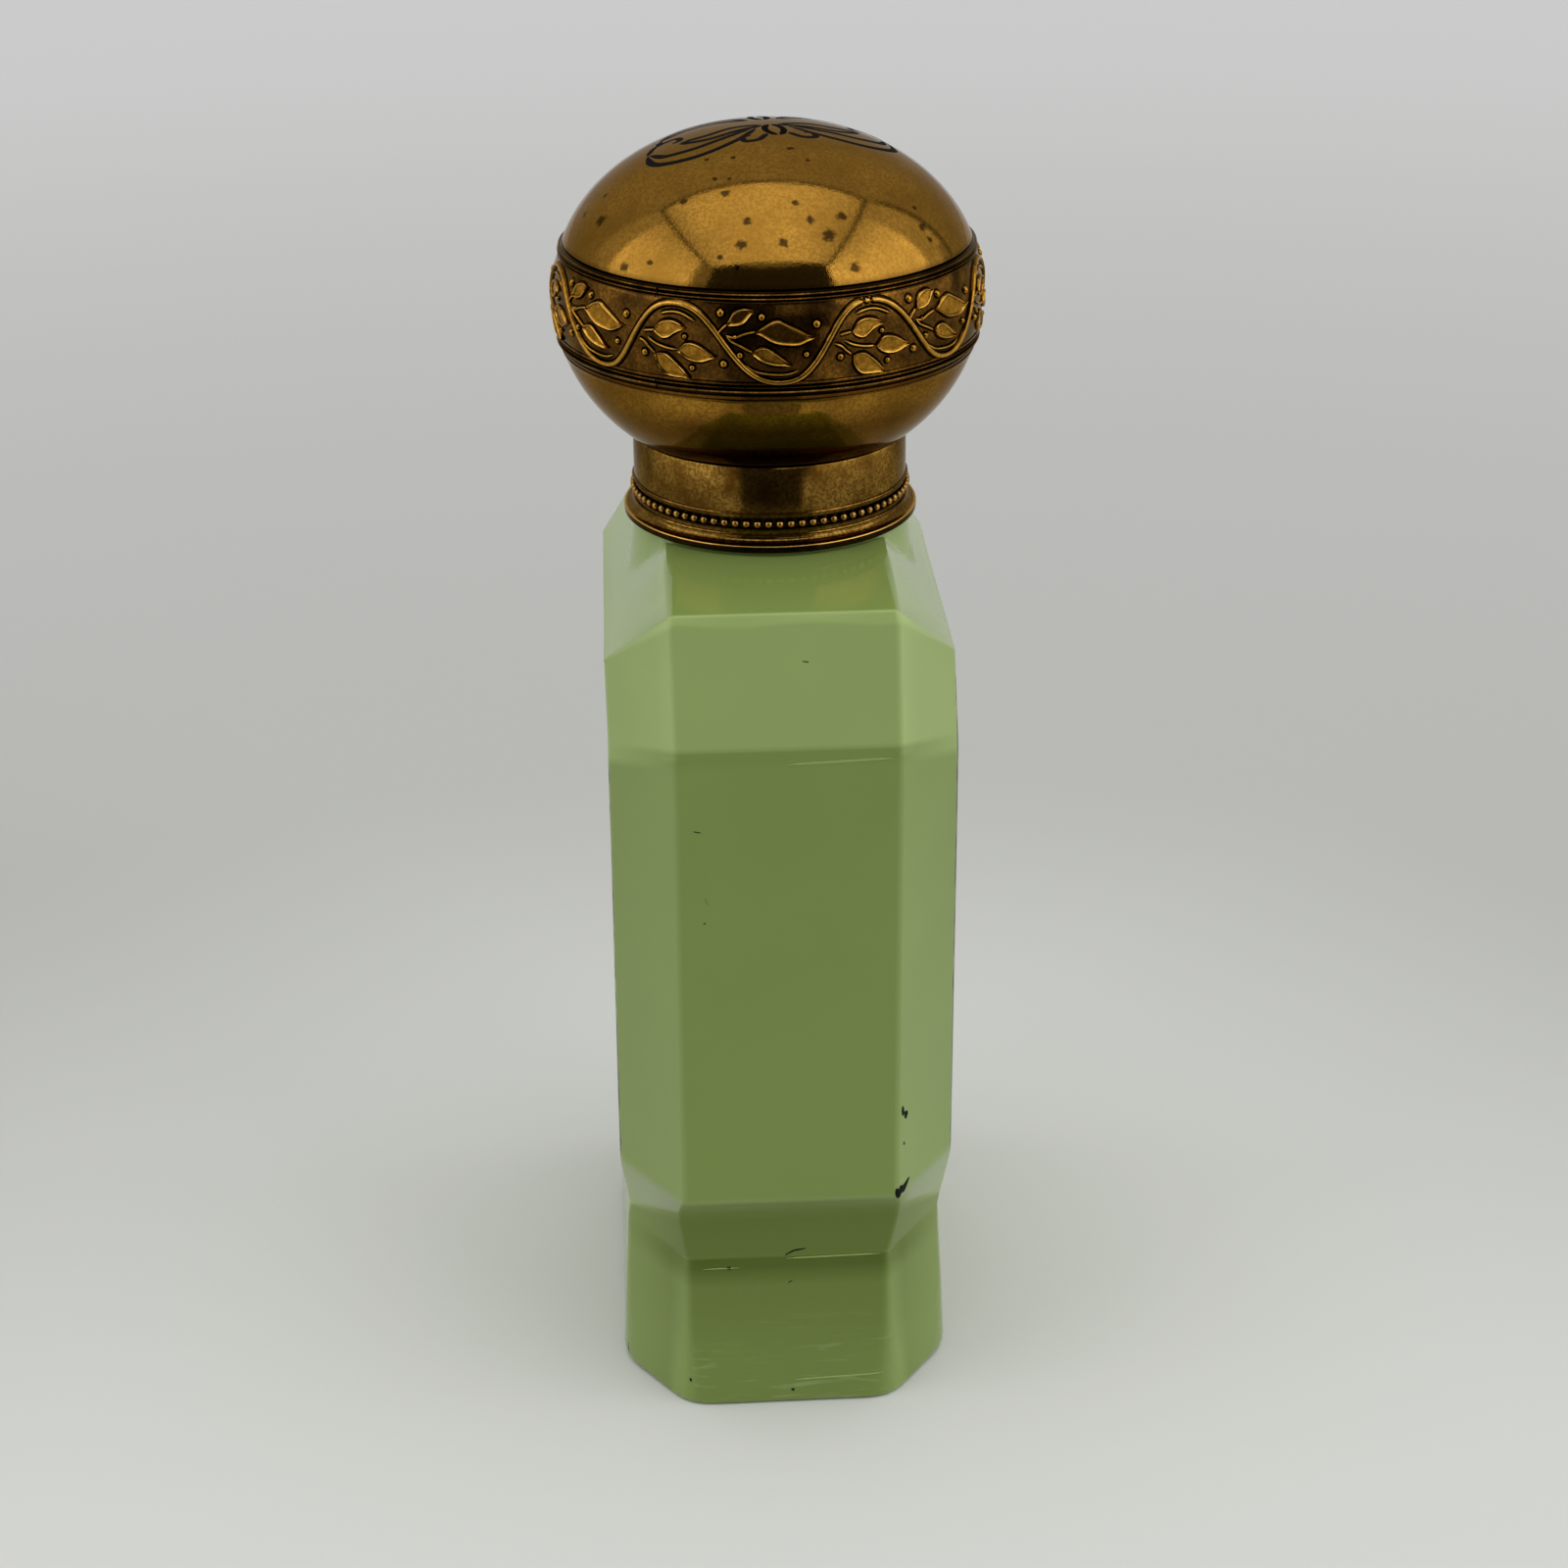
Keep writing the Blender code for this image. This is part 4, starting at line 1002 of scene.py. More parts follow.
# Vine band
# A strip of brass embossed with a running vine and soldered over the joint of the ball. The ground has
# gone dark brown, and the stem, leaves and berries are rubbed bright, with painted highlights on their
# crests and painted shadows round their feet.
PERIODS = 7
PERIOD_LENGTH = 2.0 * pi * BALL_RADIUS / PERIODS
FIRST_CREST = 9.2 - 0.5 * pi * BALL_RADIUS
TROUGH_LAG = 0.75
WAVE_MIDDLE = 116.86
WAVE_RISE = 3.73
STEM_WIDTH = 0.62
STEM_RELIEF = 0.34
TWIG_WIDTH = 0.26
TWIG_RELIEF = 0.22
LEAF_RELIEF = 0.31
BERRY_RELIEF = 0.32
SHADOW_EDGE = 0.16
BERRY_POINTS = 14


def on_band(along, height, proud):
    """A point on the band, from its distance round the ball, its height and how far it stands out."""
    radius = ball_radius(height, proud)
    angle = along / BALL_RADIUS
    return Vector((radius * cos(angle), radius * sin(angle), height)) * MM


class Relief:
    """Raised ornament that grows piece by piece: its points, faces and the dirt, painted shade and painted
    highlight at each point.
    """

    def __init__(self, place):
        self.place = place
        self.points = []
        self.faces = []
        self.dirt_shade_and_highlight = []

    def sheet(self, rows, closed=False):
        """Join rows of (along, height, proud, dirt and painted shade) into a sheet, from one row to the
        next.
        """
        first = len(self.points)
        size = len(rows[0])
        for row in rows:
            for along, height, proud, shade_and_dirt in row:
                self.points.append(self.place(along, height, proud))
                self.dirt_shade_and_highlight.append(shade_and_dirt)
        for row in range(len(rows) if closed else len(rows) - 1):
            low = first + row * size
            high = first + ((row + 1) % len(rows)) * size
            for column in range(size - 1):
                self.faces.append((low + column, high + column, high + column + 1, low + column + 1))

    def ridge(self, path, width, proud, closed=False):
        """A rounded ridge along a path, with a painted shadow at its foot and a painted highlight on its
        crest.
        """
        # Half of its section: place across and height, both as shares, and the dirt and painted shade
        # share: a painted shadow at the foot and a painted highlight on the crest.
        edge = 1.0 + 2.0 * SHADOW_EDGE / width
        half = [(edge, 0.02, 1.0), (1.0, 0.02, 1.0), (0.78, 0.6, 0.65), (0.42, 0.93, 0.0)]
        section = [(-across, rise, shade_and_dirt) for across, rise, shade_and_dirt in half]
        section += [(0.0, 1.0, -0.6)] + half[::-1]
        count = len(path)
        rows = []
        for index, (along, height) in enumerate(path):
            before = path[index - 1] if index or closed else path[index]
            after = path[(index + 1) % count] if index + 1 < count or closed else path[index]
            direction = Vector((after[0] - before[0], after[1] - before[1])).normalized()
            # An open ridge tapers to its two ends.
            share = 1.0 if closed else min(1.0, 0.35 + 6.0 * min(index, count - 1 - index) / (count - 1))
            row = []
            for across, rise, shade_and_dirt in section:
                reach = across * width / 2.0 * share
                row.append((along - direction.y * reach, height + direction.x * reach,
                            rise * proud * share, shade_and_dirt))
            rows.append(row)
        self.sheet(rows, closed)

    def leaf(self, upper, lower, proud):
        """A leaf between two edges that run from its base to its tip: raised rim and dished face."""
        # Half of its section, from its edge inwards: millimetres, height as a share, and the dirt and
        # painted shade share: a painted shadow at the foot, a painted highlight on the rim and painted
        # shade in the dish.
        section = ((-SHADOW_EDGE, 0.02, 1.0), (0.0, 0.02, 1.0), (0.06, 0.7, 0.3), (0.13, 1.0, -0.8),
                   (0.21, 0.9, -0.2), (0.3, 0.45, 0.65), (0.42, 0.4, 0.22))
        middle_rise, middle_shade_and_dirt = 0.48, 0.08
        rows = []
        for (upper_u, upper_v), (lower_u, lower_v) in zip(upper, lower):
            across = Vector((lower_u - upper_u, lower_v - upper_v))
            width = max(across.length, 0.05)
            across.normalize()
            fit = min(1.0, width / (2.0 * section[-1][0]))
            row = [(upper_u + across.x * reach * fit, upper_v + across.y * reach * fit, rise * proud, shade_and_dirt)
                   for reach, rise, shade_and_dirt in section]
            row.append(((upper_u + lower_u) / 2.0, (upper_v + lower_v) / 2.0,
                        middle_rise * proud, middle_shade_and_dirt))
            row += [(lower_u - across.x * reach * fit, lower_v - across.y * reach * fit, rise * proud, shade_and_dirt)
                    for reach, rise, shade_and_dirt in reversed(section)]
            rows.append(row)
        self.sheet(rows)

    def berry(self, along, height, radius, proud):
        """A round berry with a painted shadow at its foot."""
        # Its section, from the foot to the top: radius and height, both as shares, and the dirt and painted
        # shade share.
        section = ((1.0 + SHADOW_EDGE / radius, 0.02, 1.0), (1.0, 0.02, 1.0), (0.85, 0.6, 0.3),
                   (0.55, 0.9, 0.0), (0.2, 1.0, 0.0), (0.0, 1.0, 0.0))
        rows = []
        for step in range(BERRY_POINTS):
            turn = 2.0 * pi * step / BERRY_POINTS
            across, up = radius * cos(turn), radius * sin(turn)
            rows.append([(along + across * reach, height + up * reach, rise * proud, shade_and_dirt)
                         for reach, rise, shade_and_dirt in section])
        self.sheet(rows, closed=True)


def even_line(knots, count):
    """A smooth path through a few places, at an even number of steps along its length."""
    path = [Vector(spot) for spot in soft_line(knots, 8)]
    lengths = [0.0]
    for start, end in zip(path, path[1:]):
        lengths.append(lengths[-1] + (end - start).length)
    spots = []
    section = 0
    for step in range(count + 1):
        wanted = lengths[-1] * step / count
        while section < len(path) - 2 and lengths[section + 1] < wanted:
            section += 1
        share = (wanted - lengths[section]) / max(1e-6, lengths[section + 1] - lengths[section])
        spots.append(tuple(path[section].lerp(path[section + 1], share)))
    return spots


# The sprig under each crest and the one over each trough, both growing to the right. Places are
# distances from the crest or trough along the band, and heights. Leaves are two edges, base to tip.
crest_leaves = [
    ([(-2.05, 117.85), (-1.66, 118.5), (-1.1, 118.9), (-0.2, 119.02), (0.68, 118.78), (1.4, 118.28)],
     [(-2.05, 117.85), (-1.77, 117.4), (-1.1, 117.08), (-0.45, 117.2), (0.1, 117.62), (0.68, 117.93),
      (1.4, 118.28)]),
    ([(0.45, 116.08), (0.9, 116.6), (1.34, 116.98), (2.1, 116.98), (2.9, 116.7), (3.68, 116.2),
      (4.46, 115.7)],
     [(0.45, 116.08), (1.0, 115.48), (1.79, 115.09), (2.79, 115.03), (3.68, 115.31), (4.46, 115.7)]),
    ([(-2.0, 115.5), (-1.54, 115.66), (-0.77, 115.68), (-0.1, 115.26), (0.68, 114.59), (1.3, 113.92),
      (1.7, 113.3)],
     [(-2.0, 115.5), (-1.93, 114.6), (-1.54, 113.87), (-1.0, 113.42), (-0.1, 113.3), (0.9, 113.27),
      (1.7, 113.3)]),
]
crest_twigs = [
    [(-2.8, 117.0), (-2.1, 116.6), (-1.2, 116.31), (-0.3, 116.16), (0.45, 116.12)],
    [(-3.85, 116.78), (-3.2, 116.53), (-2.66, 116.03), (-2.0, 115.5)],
    [(-3.3, 117.6), (-2.6, 117.72), (-2.05, 117.8)],
    [(-1.6, 119.38), (-0.7, 119.68), (0.2, 119.76), (1.0, 119.6), (1.75, 119.27), (2.3, 118.98)],
]
crest_berries = [(-3.2, 115.42, 0.36), (1.9, 114.42, 0.3), (5.07, 115.03, 0.38), (1.2, 117.5, 0.27)]
trough_leaves = [
    ([(-5.17, 118.88), (-4.89, 119.6), (-4.5, 120.2), (-3.6, 120.5), (-2.85, 120.42), (-2.48, 120.22)],
     [(-5.17, 118.88), (-4.4, 118.74), (-3.5, 118.98), (-2.94, 119.6), (-2.48, 120.22)]),
    ([(-2.45, 118.25), (-1.17, 119.12), (-0.17, 119.4), (0.6, 119.05), (1.72, 118.48), (2.83, 117.87),
      (3.5, 117.7)],
     [(-2.45, 118.25), (-1.4, 117.55), (-0.5, 117.05), (0.6, 116.85), (1.72, 116.81), (2.6, 117.14),
      (3.5, 117.7)]),
    ([(-2.67, 116.2), (-2.17, 116.72), (-1.28, 116.78), (-0.39, 116.2), (0.5, 115.48), (1.2, 114.9)],
     [(-2.67, 116.2), (-2.45, 115.78), (-1.83, 115.3), (-0.83, 114.92), (0.28, 114.8), (1.2, 114.9)]),
]
trough_twigs = [
    [(-6.1, 117.95), (-5.6, 118.5), (-5.17, 118.9)],
    [(-5.2, 117.85), (-4.4, 117.68), (-3.5, 118.02), (-2.45, 118.27)],
    [(-5.15, 117.8), (-4.7, 117.3), (-3.6, 116.75), (-2.67, 116.25)],
    [(-3.4, 114.95), (-2.6, 114.42), (-1.7, 114.14), (-0.3, 113.98), (0.8, 114.03), (1.7, 114.35)],
]
trough_berries = [(-5.83, 119.95, 0.4), (-1.78, 119.64, 0.36), (3.56, 118.82, 0.4), (-3.9, 115.95, 0.33),
                  (2.5, 115.95, 0.3), (-4.35, 117.75, 0.22)]
LEAF_STEPS = 22
TWIG_STEPS = 18
WAVE_STEPS = 48
STEM_FULLNESS = 0.25
vine = Relief(on_band)
stem = []
for step in range(PERIODS * WAVE_STEPS):
    phase = 2.0 * pi * step / WAVE_STEPS
    fullness = cos(phase) * (1.0 + STEM_FULLNESS * sin(phase) ** 2)
    along = FIRST_CREST + PERIOD_LENGTH * step / WAVE_STEPS + TROUGH_LAG * (1.0 - cos(phase)) / 2.0
    stem.append((along, WAVE_MIDDLE + WAVE_RISE * fullness))
vine.ridge(stem, STEM_WIDTH, STEM_RELIEF, closed=True)
for period in range(PERIODS):
    crest = FIRST_CREST + PERIOD_LENGTH * period
    trough = crest + PERIOD_LENGTH / 2.0 + TROUGH_LAG
    sprigs = ((crest, crest_leaves, crest_twigs, crest_berries),
              (trough, trough_leaves, trough_twigs, trough_berries))
    for middle, leaves, twigs, berries in sprigs:
        for knots in twigs:
            vine.ridge([(middle + u, v) for u, v in even_line(knots, TWIG_STEPS)], TWIG_WIDTH, TWIG_RELIEF)
        for upper, lower in leaves:
            vine.leaf([(middle + u, v) for u, v in even_line(upper, LEAF_STEPS)],
                      [(middle + u, v) for u, v in even_line(lower, LEAF_STEPS)], LEAF_RELIEF)
        for u, v, radius in berries:
            vine.berry(middle + u, v, radius, BERRY_RELIEF)

# The strip's ends meet on the left of the front: a dark seam across its edges.
SEAM_ALONG = radians(-122.8) * BALL_RADIUS
SEAM_WIDTH = 0.16
SEAM_PROUD = 0.32
SEAM_STEPS = 4
for seam_low, seam_high in ((BAND_TOP - 1.1, BAND_TOP - 0.1), (BAND_BOTTOM + 0.1, BAND_BOTTOM + 1.2)):
    heights = [seam_low + (seam_high - seam_low) * step / SEAM_STEPS for step in range(SEAM_STEPS + 1)]
    vine.sheet([[(SEAM_ALONG + side * SEAM_WIDTH / 2.0, height, SEAM_PROUD, 1.0) for height in heights]
                for side in (-1.0, 1.0)])

# Fine lines along the strip's edges: height from the edge, width and how far each stands out.
upper_lines = [(-0.36, 0.26, 0.26), (-0.76, 0.22, 0.2), (-1.05, 0.2, 0.08)]
lower_lines = [(1.36, 0.3, 0.12), (0.94, 0.2, 0.14), (0.44, 0.28, 0.28)]
STRIP_EDGE = 0.1
STRIP_LIFT = 0.05
STRIP_SINK = -0.3
STRIP_STEPS = 192


def edge_lines(edge, lines):
    """The fine raised lines beside one edge of the strip, from the top one down."""
    points = []
    for rise, width, proud in lines:
        points += half_round(ball_radius(edge + rise), edge + rise, width, proud)
    return points


strip_profile = [
    (ball_radius(BAND_TOP, STRIP_LIFT), BAND_TOP - STRIP_EDGE),
    *edge_lines(BAND_TOP, upper_lines),
    *ball_arc(BAND_TOP - 1.3, BALL_MIDDLE, 0.0, 10),
    *ball_arc(BALL_MIDDLE, BAND_BOTTOM + 1.6, 0.0, 10)[1:],
    *edge_lines(BAND_BOTTOM, lower_lines),
    (ball_radius(BAND_BOTTOM), BAND_BOTTOM + STRIP_EDGE),
    *reversed(ball_arc(BALL_MIDDLE, BAND_BOTTOM, STRIP_SINK, 5)),
    *reversed(ball_arc(BAND_TOP, BALL_MIDDLE, STRIP_SINK, 5)[:-1]),
]


def strip_grime(radius, height, front):
    """The grooves beside the fine lines are nearly black."""
    if BAND_BOTTOM + 1.25 < height < BAND_TOP - 1.0:
        return 0.0
    proud = radius - ball_radius(height)
    return CAKED_DIRT_AND_SHADE if proud < 0.1 else 0.0


vine_strip = turned("vine_strip", strip_profile, strip_grime, STRIP_STEPS)
vine_strip.data.materials.append(
    aged_brass("embossed_brass_ground_browned", "#82591E", "#3A2610", "#0A0603",
               blotch_size=2.5, blotch_share=0.16, speck_share=0.6, roughness=0.11))
vine_relief = add_piece("vine_relief", vine.points, vine.faces, sharp=60.0)
add_values(vine_relief, "dirt_shade_and_highlight", vine.dirt_shade_and_highlight)
vine_relief.data.materials.append(
    aged_brass("embossed_brass_rubbed_bright", "#E2A63C", "#8E5F18", "#0C0703",
               blotch_size=0.9, blotch_share=0.2, speck_share=0.6, roughness=0.1))
for piece in (vine_strip, vine_relief):
    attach(piece, "ball_cap")
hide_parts("vine_band")


# Cap dome
# The upper half of the ball, spun from brass sheet, worn to a warm gold and pitted with dark spots.
# An engraved leaf scroll, filled with black, lies across its top.
DOME_INSET = -0.03
dome_seat = BAND_TOP + SEAT_GAP
dome_joint = BALL_MIDDLE + JOINT_HALF_GAP
dome_profile = [
    *ball_arc(BALL_TOP, dome_seat, DOME_INSET, 40),
    *ball_arc(dome_seat, dome_joint, -SEAT_SINK, 5),
    *reversed(ball_arc(BALL_TOP - BALL_WALL, dome_joint, -BALL_WALL, 14)),
]

# Pits that show most: turn about the axis in degrees, height and radius in millimetres.
dome_pits = [
    (-154.9, 125.9, 0.6), (-168.2, 125.6, 0.35), (-164.1, 127.6, 0.28), (-135.7, 122.9, 0.45),
    (-127.4, 123.7, 0.3), (-124.2, 128.8, 0.35), (-109.0, 129.7, 0.45), (-116.2, 130.6, 0.28),
    (-109.6, 130.7, 0.22), (-99.2, 127.7, 0.42), (-100.4, 125.9, 0.5), (-87.9, 126.0, 0.48),
    (-78.3, 127.7, 0.42), (-73.5, 126.4, 0.62), (-67.2, 127.7, 0.5), (-67.9, 123.5, 0.5),
    (-82.2, 129.0, 0.32), (-38.6, 125.5, 0.45), (-38.3, 124.4, 0.32), (-36.2, 127.1, 0.28),
    (-106.4, 124.8, 0.25), (-101.3, 124.0, 0.25), (-74.0, 132.5, 0.35), (-68.4, 131.75, 0.25),
    (-128.5, 131.7, 0.25), (-113.2, 132.0, 0.25), (20.0, 126.5, 0.5), (55.0, 124.8, 0.4),
    (80.0, 127.5, 0.5), (110.0, 125.5, 0.4), (140.0, 126.8, 0.45), (165.0, 124.0, 0.4),
    (95.0, 130.0, 0.35), (35.0, 129.5, 0.3),
]
PIT_SPREAD = 1.2
pit_spots = []
for turn, height, radius in dome_pits:
    reach = ball_radius(height)
    spot = Vector((reach * cos(radians(turn)), reach * sin(radians(turn)), height)) * MM
    pit_spots.append((spot, PIT_SPREAD * radius * MM))


RIM_DIRT = 0.5
RIM_DIRT_HEIGHT = 0.35


def dome_grime(radius, height, front):
    """A little dirt along the band's edge."""
    return RIM_DIRT * max(0.0, 1.0 - (height - dome_seat) / RIM_DIRT_HEIGHT)


dome_half = turned("dome_half", dome_profile, dome_grime)
dome_half.data.materials.append(
    aged_brass("spun_brass_dome_gold", "#AC7E32", "#805B1F", "#2A1B0A",
               blotch_size=6.0, blotch_share=0.25, speck_share=0.7, roughness=0.055, pits=pit_spots))
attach(dome_half, "ball_cap")
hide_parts("cap_dome")

ENGRAVED_WIDTH = 0.8
SCROLL_TURN = radians(12.0)
SCROLL_BACK = 1.3
ENGRAVED_PROUD = 0.04
ENGRAVED_SINK = 0.02
SCROLL_STEPS = 50
LEAF_FULLNESS = 0.7


def on_dome(x, y, proud):
    """A point over the dome's top, from its place in plan and how far it stands out."""
    height = BALL_MIDDLE + UPPER_HEIGHT * ball_share(hypot(x, y) / BALL_RADIUS)
    return Vector((x, y, height + DOME_INSET - ENGRAVED_SINK + proud)) * MM


# Right half of the scroll, mirrored for the left half: places in plan along each leaf or tendril, and
# half the width of the leaf, which is drawn as an outline.
scroll_leaves = [
    ([(1.6, -2.4), (4.6, -4.6), (8.4, -5.4), (11.6, -3.8), (12.3, -0.8)], 0.95),
    ([(1.4, 0.9), (4.2, 3.1), (7.6, 3.6), (10.4, 2.2)], 0.8),
    ([(0.6, -1.9), (3.6, -2.0), (6.6, -2.6), (9.4, -1.6)], 0.7),
    ([(0.0, -5.4), (0.0, -3.6), (0.0, -1.6)], 0.9),
    ([(0.0, 4.6), (0.0, 2.8), (0.0, 0.8)], 0.8),
]
scroll_tendrils = [
    [(12.3, -0.8), (11.2, 0.8), (9.2, 0.7), (8.9, -0.5), (9.9, -0.7)],
    [(1.0, -4.6), (2.2, -6.0), (3.6, -5.9), (3.5, -4.7), (2.6, -4.8)],
    [(10.4, 2.2), (10.6, 1.2), (9.8, 1.0)],
]
scroll = Relief(on_dome)
for mirror in (1.0, -1.0):
    engraved_lines = [even_line(knots, SCROLL_STEPS) for knots in scroll_tendrils]
    for knots, half_width in scroll_leaves:
        middle = [Vector(spot) for spot in even_line(knots, SCROLL_STEPS)]
        for side in (half_width, -half_width):
            outline = []
            for index, spot in enumerate(middle):
                ahead = (middle[min(index + 1, SCROLL_STEPS)] - middle[max(index - 1, 0)]).normalized()
                reach = side * sin(pi * index / SCROLL_STEPS) ** LEAF_FULLNESS
                outline.append((spot.x - ahead.y * reach, spot.y + ahead.x * reach))
            engraved_lines.append(outline)
    for line in engraved_lines:
        path = [(mirror * u * cos(SCROLL_TURN) - v * sin(SCROLL_TURN),
                 mirror * u * sin(SCROLL_TURN) + v * cos(SCROLL_TURN) + SCROLL_BACK) for u, v in line]
        scroll.ridge(path if mirror > 0.0 else path[::-1], ENGRAVED_WIDTH, ENGRAVED_PROUD)
engraving = add_piece("dome_engraving", scroll.points, scroll.faces, sharp=60.0)
# Black wax rubbed into the cut lines: matt, with hardly any shine.
black_wax = grainy("black_wax_in_engraving", grain_size=0.5, detail=3.0,
                   dark="#060403", light="#120C08", roughness=0.7, specular=0.05)
engraving.data.materials.append(black_wax)
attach(engraving, "ball_cap")


# Floor
# A wide sheet of pale grey paper under the bottle, with a painted pool of light: lightest in front of the
# bottle and darker away from it. Towards the tent's open front a wedge of the sheet lies in shade and
# sends no light back at the bottle.
FLOOR_HALF = 4000.0
SHADE_START = 63.0
SHADE_LEFT = radians(28.0)
SHADE_RIGHT = radians(25.0)
floor_points = []
for y in (-FLOOR_HALF, -SHADE_START, FLOOR_HALF):
    away = max(-y, SHADE_START) - BALL_RADIUS
    columns = (-FLOOR_HALF, -away * tan(SHADE_LEFT), away * tan(SHADE_RIGHT), FLOOR_HALF)
    floor_points += [Vector((x, y, 0.0)) * MM for x in columns]
floor = add_piece("floor", floor_points,
                  [(0, 1, 5, 4), (2, 3, 7, 6), (4, 5, 9, 8), (5, 6, 10, 9), (6, 7, 11, 10)])
shaded = add_piece("shaded_floor", floor_points, [(1, 2, 6, 5)])
shaded.visible_diffuse = False
shaded.visible_glossy = False
shaded.visible_shadow = False
# Painted pool of light: the paper's colour fades from this spot outwards.
LIGHTEST_SPOT = Vector((0.0, -70.0, 0.0)) * MM
GRADIENT_LENGTH = 900.0
paper, tree, shader, place = new_material("pale_grey_paper")
away = add_node(tree, "ShaderNodeVectorMath", {0: place, 1: LIGHTEST_SPOT}, operation="DISTANCE")
share = add_node(tree, "ShaderNodeMath", {
    0: away.outputs["Value"], 1: GRADIENT_LENGTH * MM}, operation="DIVIDE")
fade = add_node(tree, "ShaderNodeValToRGB", {"Fac": share.outputs["Value"]})
fade.color_ramp.interpolation = "EASE"
fade.color_ramp.elements[0].color = linear("#DEDFDB")
fade.color_ramp.elements[0].position = 0.09
fade.color_ramp.elements[1].color = linear("#D3D3D3")
fade.color_ramp.elements.new(0.24).color = linear("#BFC0BC")
tree.links.new(fade.outputs["Color"], shader.inputs["Base Color"])
shader.inputs["Roughness"].default_value = 0.85
shader.inputs["Specular IOR Level"].default_value = 0.2
for sheet in (floor, shaded):
    sheet.data.materials.append(paper)


# Light tent
# A tent of white cloth round the sheet: a bright panel in its roof, bright side walls, a duller back wall
# and a dim open front, a little to the left. It lights the bottle and shows in its reflections.
PAPER_SEEN = linear("#CBCBCA")
tent = bpy.data.worlds.new("white_tent")
bpy.context.scene.world = tent
tent.use_nodes = True
tree = tent.node_tree
sky = tree.nodes["Background"]
direction = tree.nodes.new("ShaderNodeTexCoord").outputs["Generated"]
parts = add_node(tree, "ShaderNodeSeparateXYZ", {"Vector": direction})
across, ahead, above = parts.outputs["X"], parts.outputs["Y"], parts.outputs["Z"]
behind = add_node(tree, "ShaderNodeMath", {0: ahead, 1: -1.0}, operation="MULTIPLY").outputs["Value"]
bearing = add_node(tree, "ShaderNodeMath", {0: across, 1: behind}, operation="ARCTAN2").outputs["Value"]
rise = add_node(tree, "ShaderNodeMath", {0: above}, operation="ARCSINE").outputs["Value"]

# Places on the roof, as shares of its height over the bottle, kept from growing without end at its edge.
ROOF_EDGE = 0.05
lifted = add_node(tree, "ShaderNodeMath", {0: above, 1: ROOF_EDGE}, operation="MAXIMUM").outputs["Value"]
roof_across = add_node(tree, "ShaderNodeMath", {0: across, 1: lifted}, operation="DIVIDE").outputs["Value"]
roof_ahead = add_node(tree, "ShaderNodeMath", {0: ahead, 1: lifted}, operation="DIVIDE").outputs["Value"]


def window(first, first_middle, first_half, second, second_middle, second_half):
    """1 where two values both lie within a half width of their middles, else 0."""
    first_in = add_node(tree, "ShaderNodeMath", {
        0: first, 1: first_middle, 2: first_half}, operation="COMPARE")
    second_in = add_node(tree, "ShaderNodeMath", {
        0: second, 1: second_middle, 2: second_half}, operation="COMPARE")
    return add_node(tree, "ShaderNodeMath", {
        0: first_in.outputs["Value"], 1: second_in.outputs["Value"]}, operation="MULTIPLY").outputs["Value"]


# How bright the parts are. The side walls dim towards the roof, and the roof's panel towards its sides.
TENT_LEVEL = 1.12
FRONT_DARK = 0.04
BELOW_FLOOR = 0.2
EDGE_LEVEL = 0.15
FLOOR_EDGE = -0.02
RIGHT_LEVEL = 1.72
LEFT_LEVEL = 1.5
PANEL_LEVEL = 1.36
PANEL_FALL = -1.4
dimmer = add_node(tree, "ShaderNodeMapRange", {
    "Value": rise, "From Min": radians(34.0), "From Max": radians(54.0), "To Min": 1.0, "To Max": 0.5})
right_wall = add_node(tree, "ShaderNodeMath", {
    0: dimmer.outputs["Result"], 1: RIGHT_LEVEL}, operation="MULTIPLY").outputs["Value"]
left_wall = add_node(tree, "ShaderNodeMath", {
    0: dimmer.outputs["Result"], 1: LEFT_LEVEL}, operation="MULTIPLY").outputs["Value"]
off_middle = add_node(tree, "ShaderNodeMath", {0: roof_across, 1: roof_across}, operation="MULTIPLY")
panel = add_node(tree, "ShaderNodeMath", {
    0: off_middle.outputs["Value"], 1: PANEL_FALL, 2: PANEL_LEVEL}, operation="MULTIPLY_ADD")

# Each part of the walls: middle and half width of its bearing, middle and half height of its rise, all
# in degrees as seen from the bottle, and how bright it is. A later one hides those before it.
wall_parts = [
    (74.0, 39.0, 9.5, 11.5, 0.85), (-80.0, 32.0, 9.5, 11.5, 0.68),
    (77.0, 41.0, 37.0, 21.0, 0.72), (-83.0, 35.0, 37.0, 21.0, 0.6),
    (68.0, 32.0, 36.0, 20.0, right_wall), (-77.0, 27.0, 36.0, 20.0, left_wall),
    (-6.0, 41.0, 26.0, 27.0, 0.36), (-1.0, 38.0, 38.0, 9.5, FRONT_DARK),
    (-14.0, 16.0, 15.0, 15.0, FRONT_DARK), (1.0, 29.0, -3.0, 13.5, FRONT_DARK),
    (121.0, 1.5, 28.0, 20.0, EDGE_LEVEL),
]
below = add_node(tree, "ShaderNodeMath", {0: above, 1: FLOOR_EDGE}, operation="LESS_THAN")
tent_parts = [(below.outputs["Value"], BELOW_FLOOR)]
for bearing_middle, bearing_half, rise_middle, rise_half, level in wall_parts:
    mask = window(bearing, radians(bearing_middle), radians(bearing_half),
                  rise, radians(rise_middle), radians(rise_half))
    tent_parts.append((mask, level))

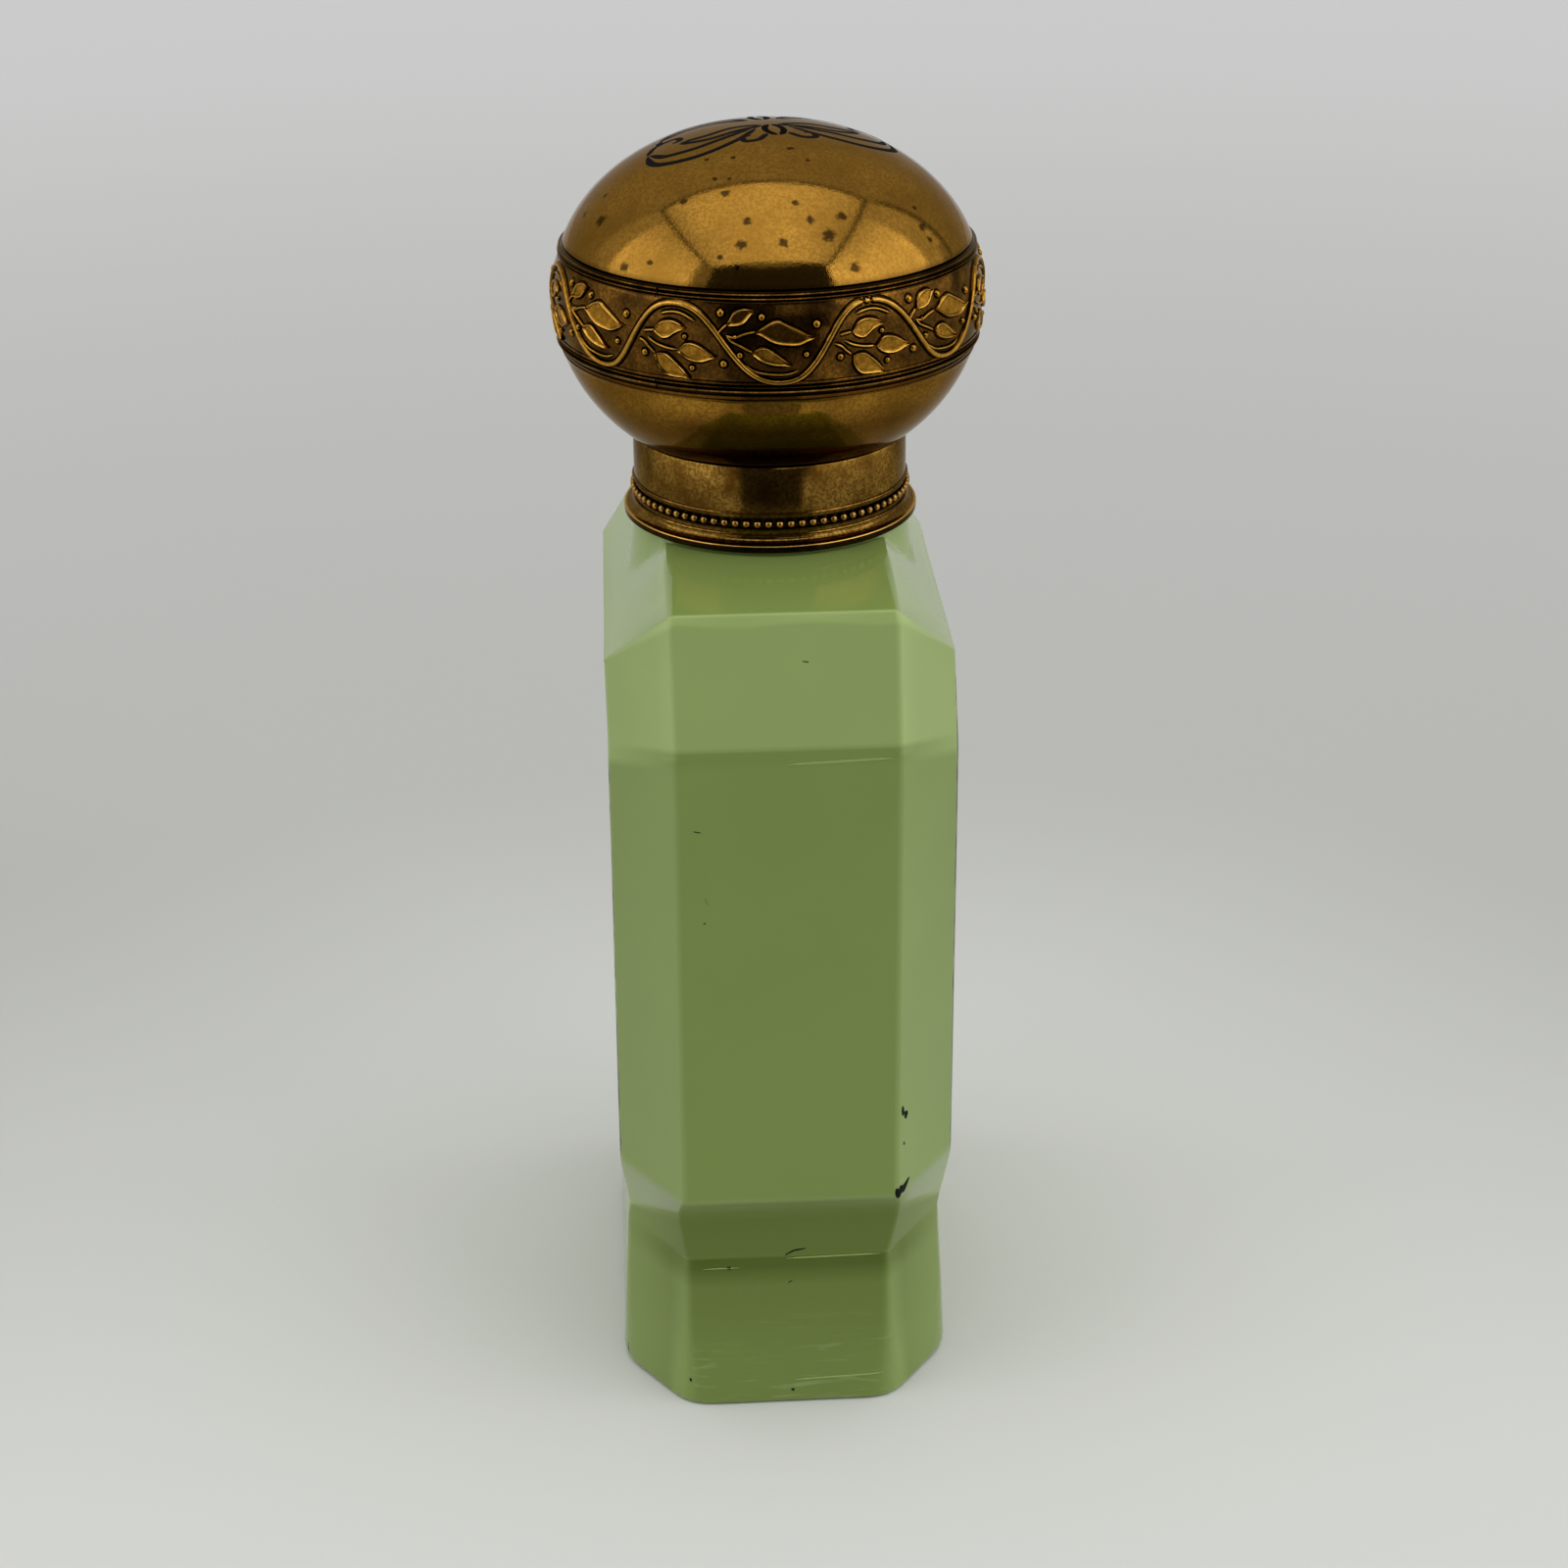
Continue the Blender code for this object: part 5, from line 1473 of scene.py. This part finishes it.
# The roof's bright panel lies in a dark rim: middle and half size across and ahead, as roof shares.
PANEL_ACROSS, PANEL_HALF_WIDTH = -0.025, 0.675
PANEL_AHEAD, PANEL_HALF_LENGTH = -0.2125, 0.5875
PANEL_RIM = 0.05
for rim, level in ((PANEL_RIM, EDGE_LEVEL), (0.0, panel.outputs["Value"])):
    mask = window(roof_across, PANEL_ACROSS, PANEL_HALF_WIDTH + rim,
                  roof_ahead, PANEL_AHEAD, PANEL_HALF_LENGTH + rim)
    tent_parts.append((mask, level))

# The back wall is a little brighter towards the roof, and each part lies over it in turn.
back = add_node(tree, "ShaderNodeMapRange", {
    "Value": rise, "From Min": 0.0, "From Max": radians(45.0), "To Min": 0.4, "To Max": 0.46})
light = back.outputs["Result"]
for mask, level in tent_parts:
    mixed = add_node(tree, "ShaderNodeMix", {0: mask, 2: light, 3: level}, data_type="FLOAT")
    light = mixed.outputs[0]
strength = add_node(tree, "ShaderNodeMath", {0: light, 1: TENT_LEVEL}, operation="MULTIPLY")
tree.links.new(strength.outputs["Value"], sky.inputs["Strength"])
sky.inputs["Color"].default_value = linear("#FFFFFF")

# Beyond the sheet the camera sees its colour go on.
beyond = add_node(tree, "ShaderNodeBackground", {"Color": PAPER_SEEN, "Strength": 1.0})
path = tree.nodes.new("ShaderNodeLightPath")
seen = add_node(tree, "ShaderNodeMixShader", {
    0: path.outputs["Is Camera Ray"], 1: sky.outputs[0], 2: beyond.outputs[0]})
tree.links.new(seen.outputs[0], tree.nodes["World Output"].inputs["Surface"])


# Camera
# Where the photograph was taken from: a little above the cap, with the narrow end in front.
CAMERA_PLACE = Vector((-14.77, -312.03, 202.35))
CAMERA_PITCH = radians(24.348)
CAMERA_TURN = radians(2.922)
CAMERA_ROLL = radians(0.572)
level = cos(CAMERA_PITCH)
forward = Vector((level * sin(CAMERA_TURN), level * cos(CAMERA_TURN), -sin(CAMERA_PITCH)))
level_right = Vector((cos(CAMERA_TURN), -sin(CAMERA_TURN), 0.0))
level_up = level_right.cross(forward)
right = level_right * cos(CAMERA_ROLL) - level_up * sin(CAMERA_ROLL)
up = level_right * sin(CAMERA_ROLL) + level_up * cos(CAMERA_ROLL)
lens = bpy.data.cameras.new("camera")
lens.lens = 72.0
lens.sensor_width = 36.0
lens.clip_start = 0.01
camera = bpy.data.objects.new("camera", lens)
turn = Matrix((right, up, -forward)).transposed().to_4x4()
camera.matrix_world = Matrix.Translation(CAMERA_PLACE * MM) @ turn
bpy.context.scene.collection.objects.link(camera)
bpy.context.scene.camera = camera
bpy.context.scene.view_settings.view_transform = "Standard"
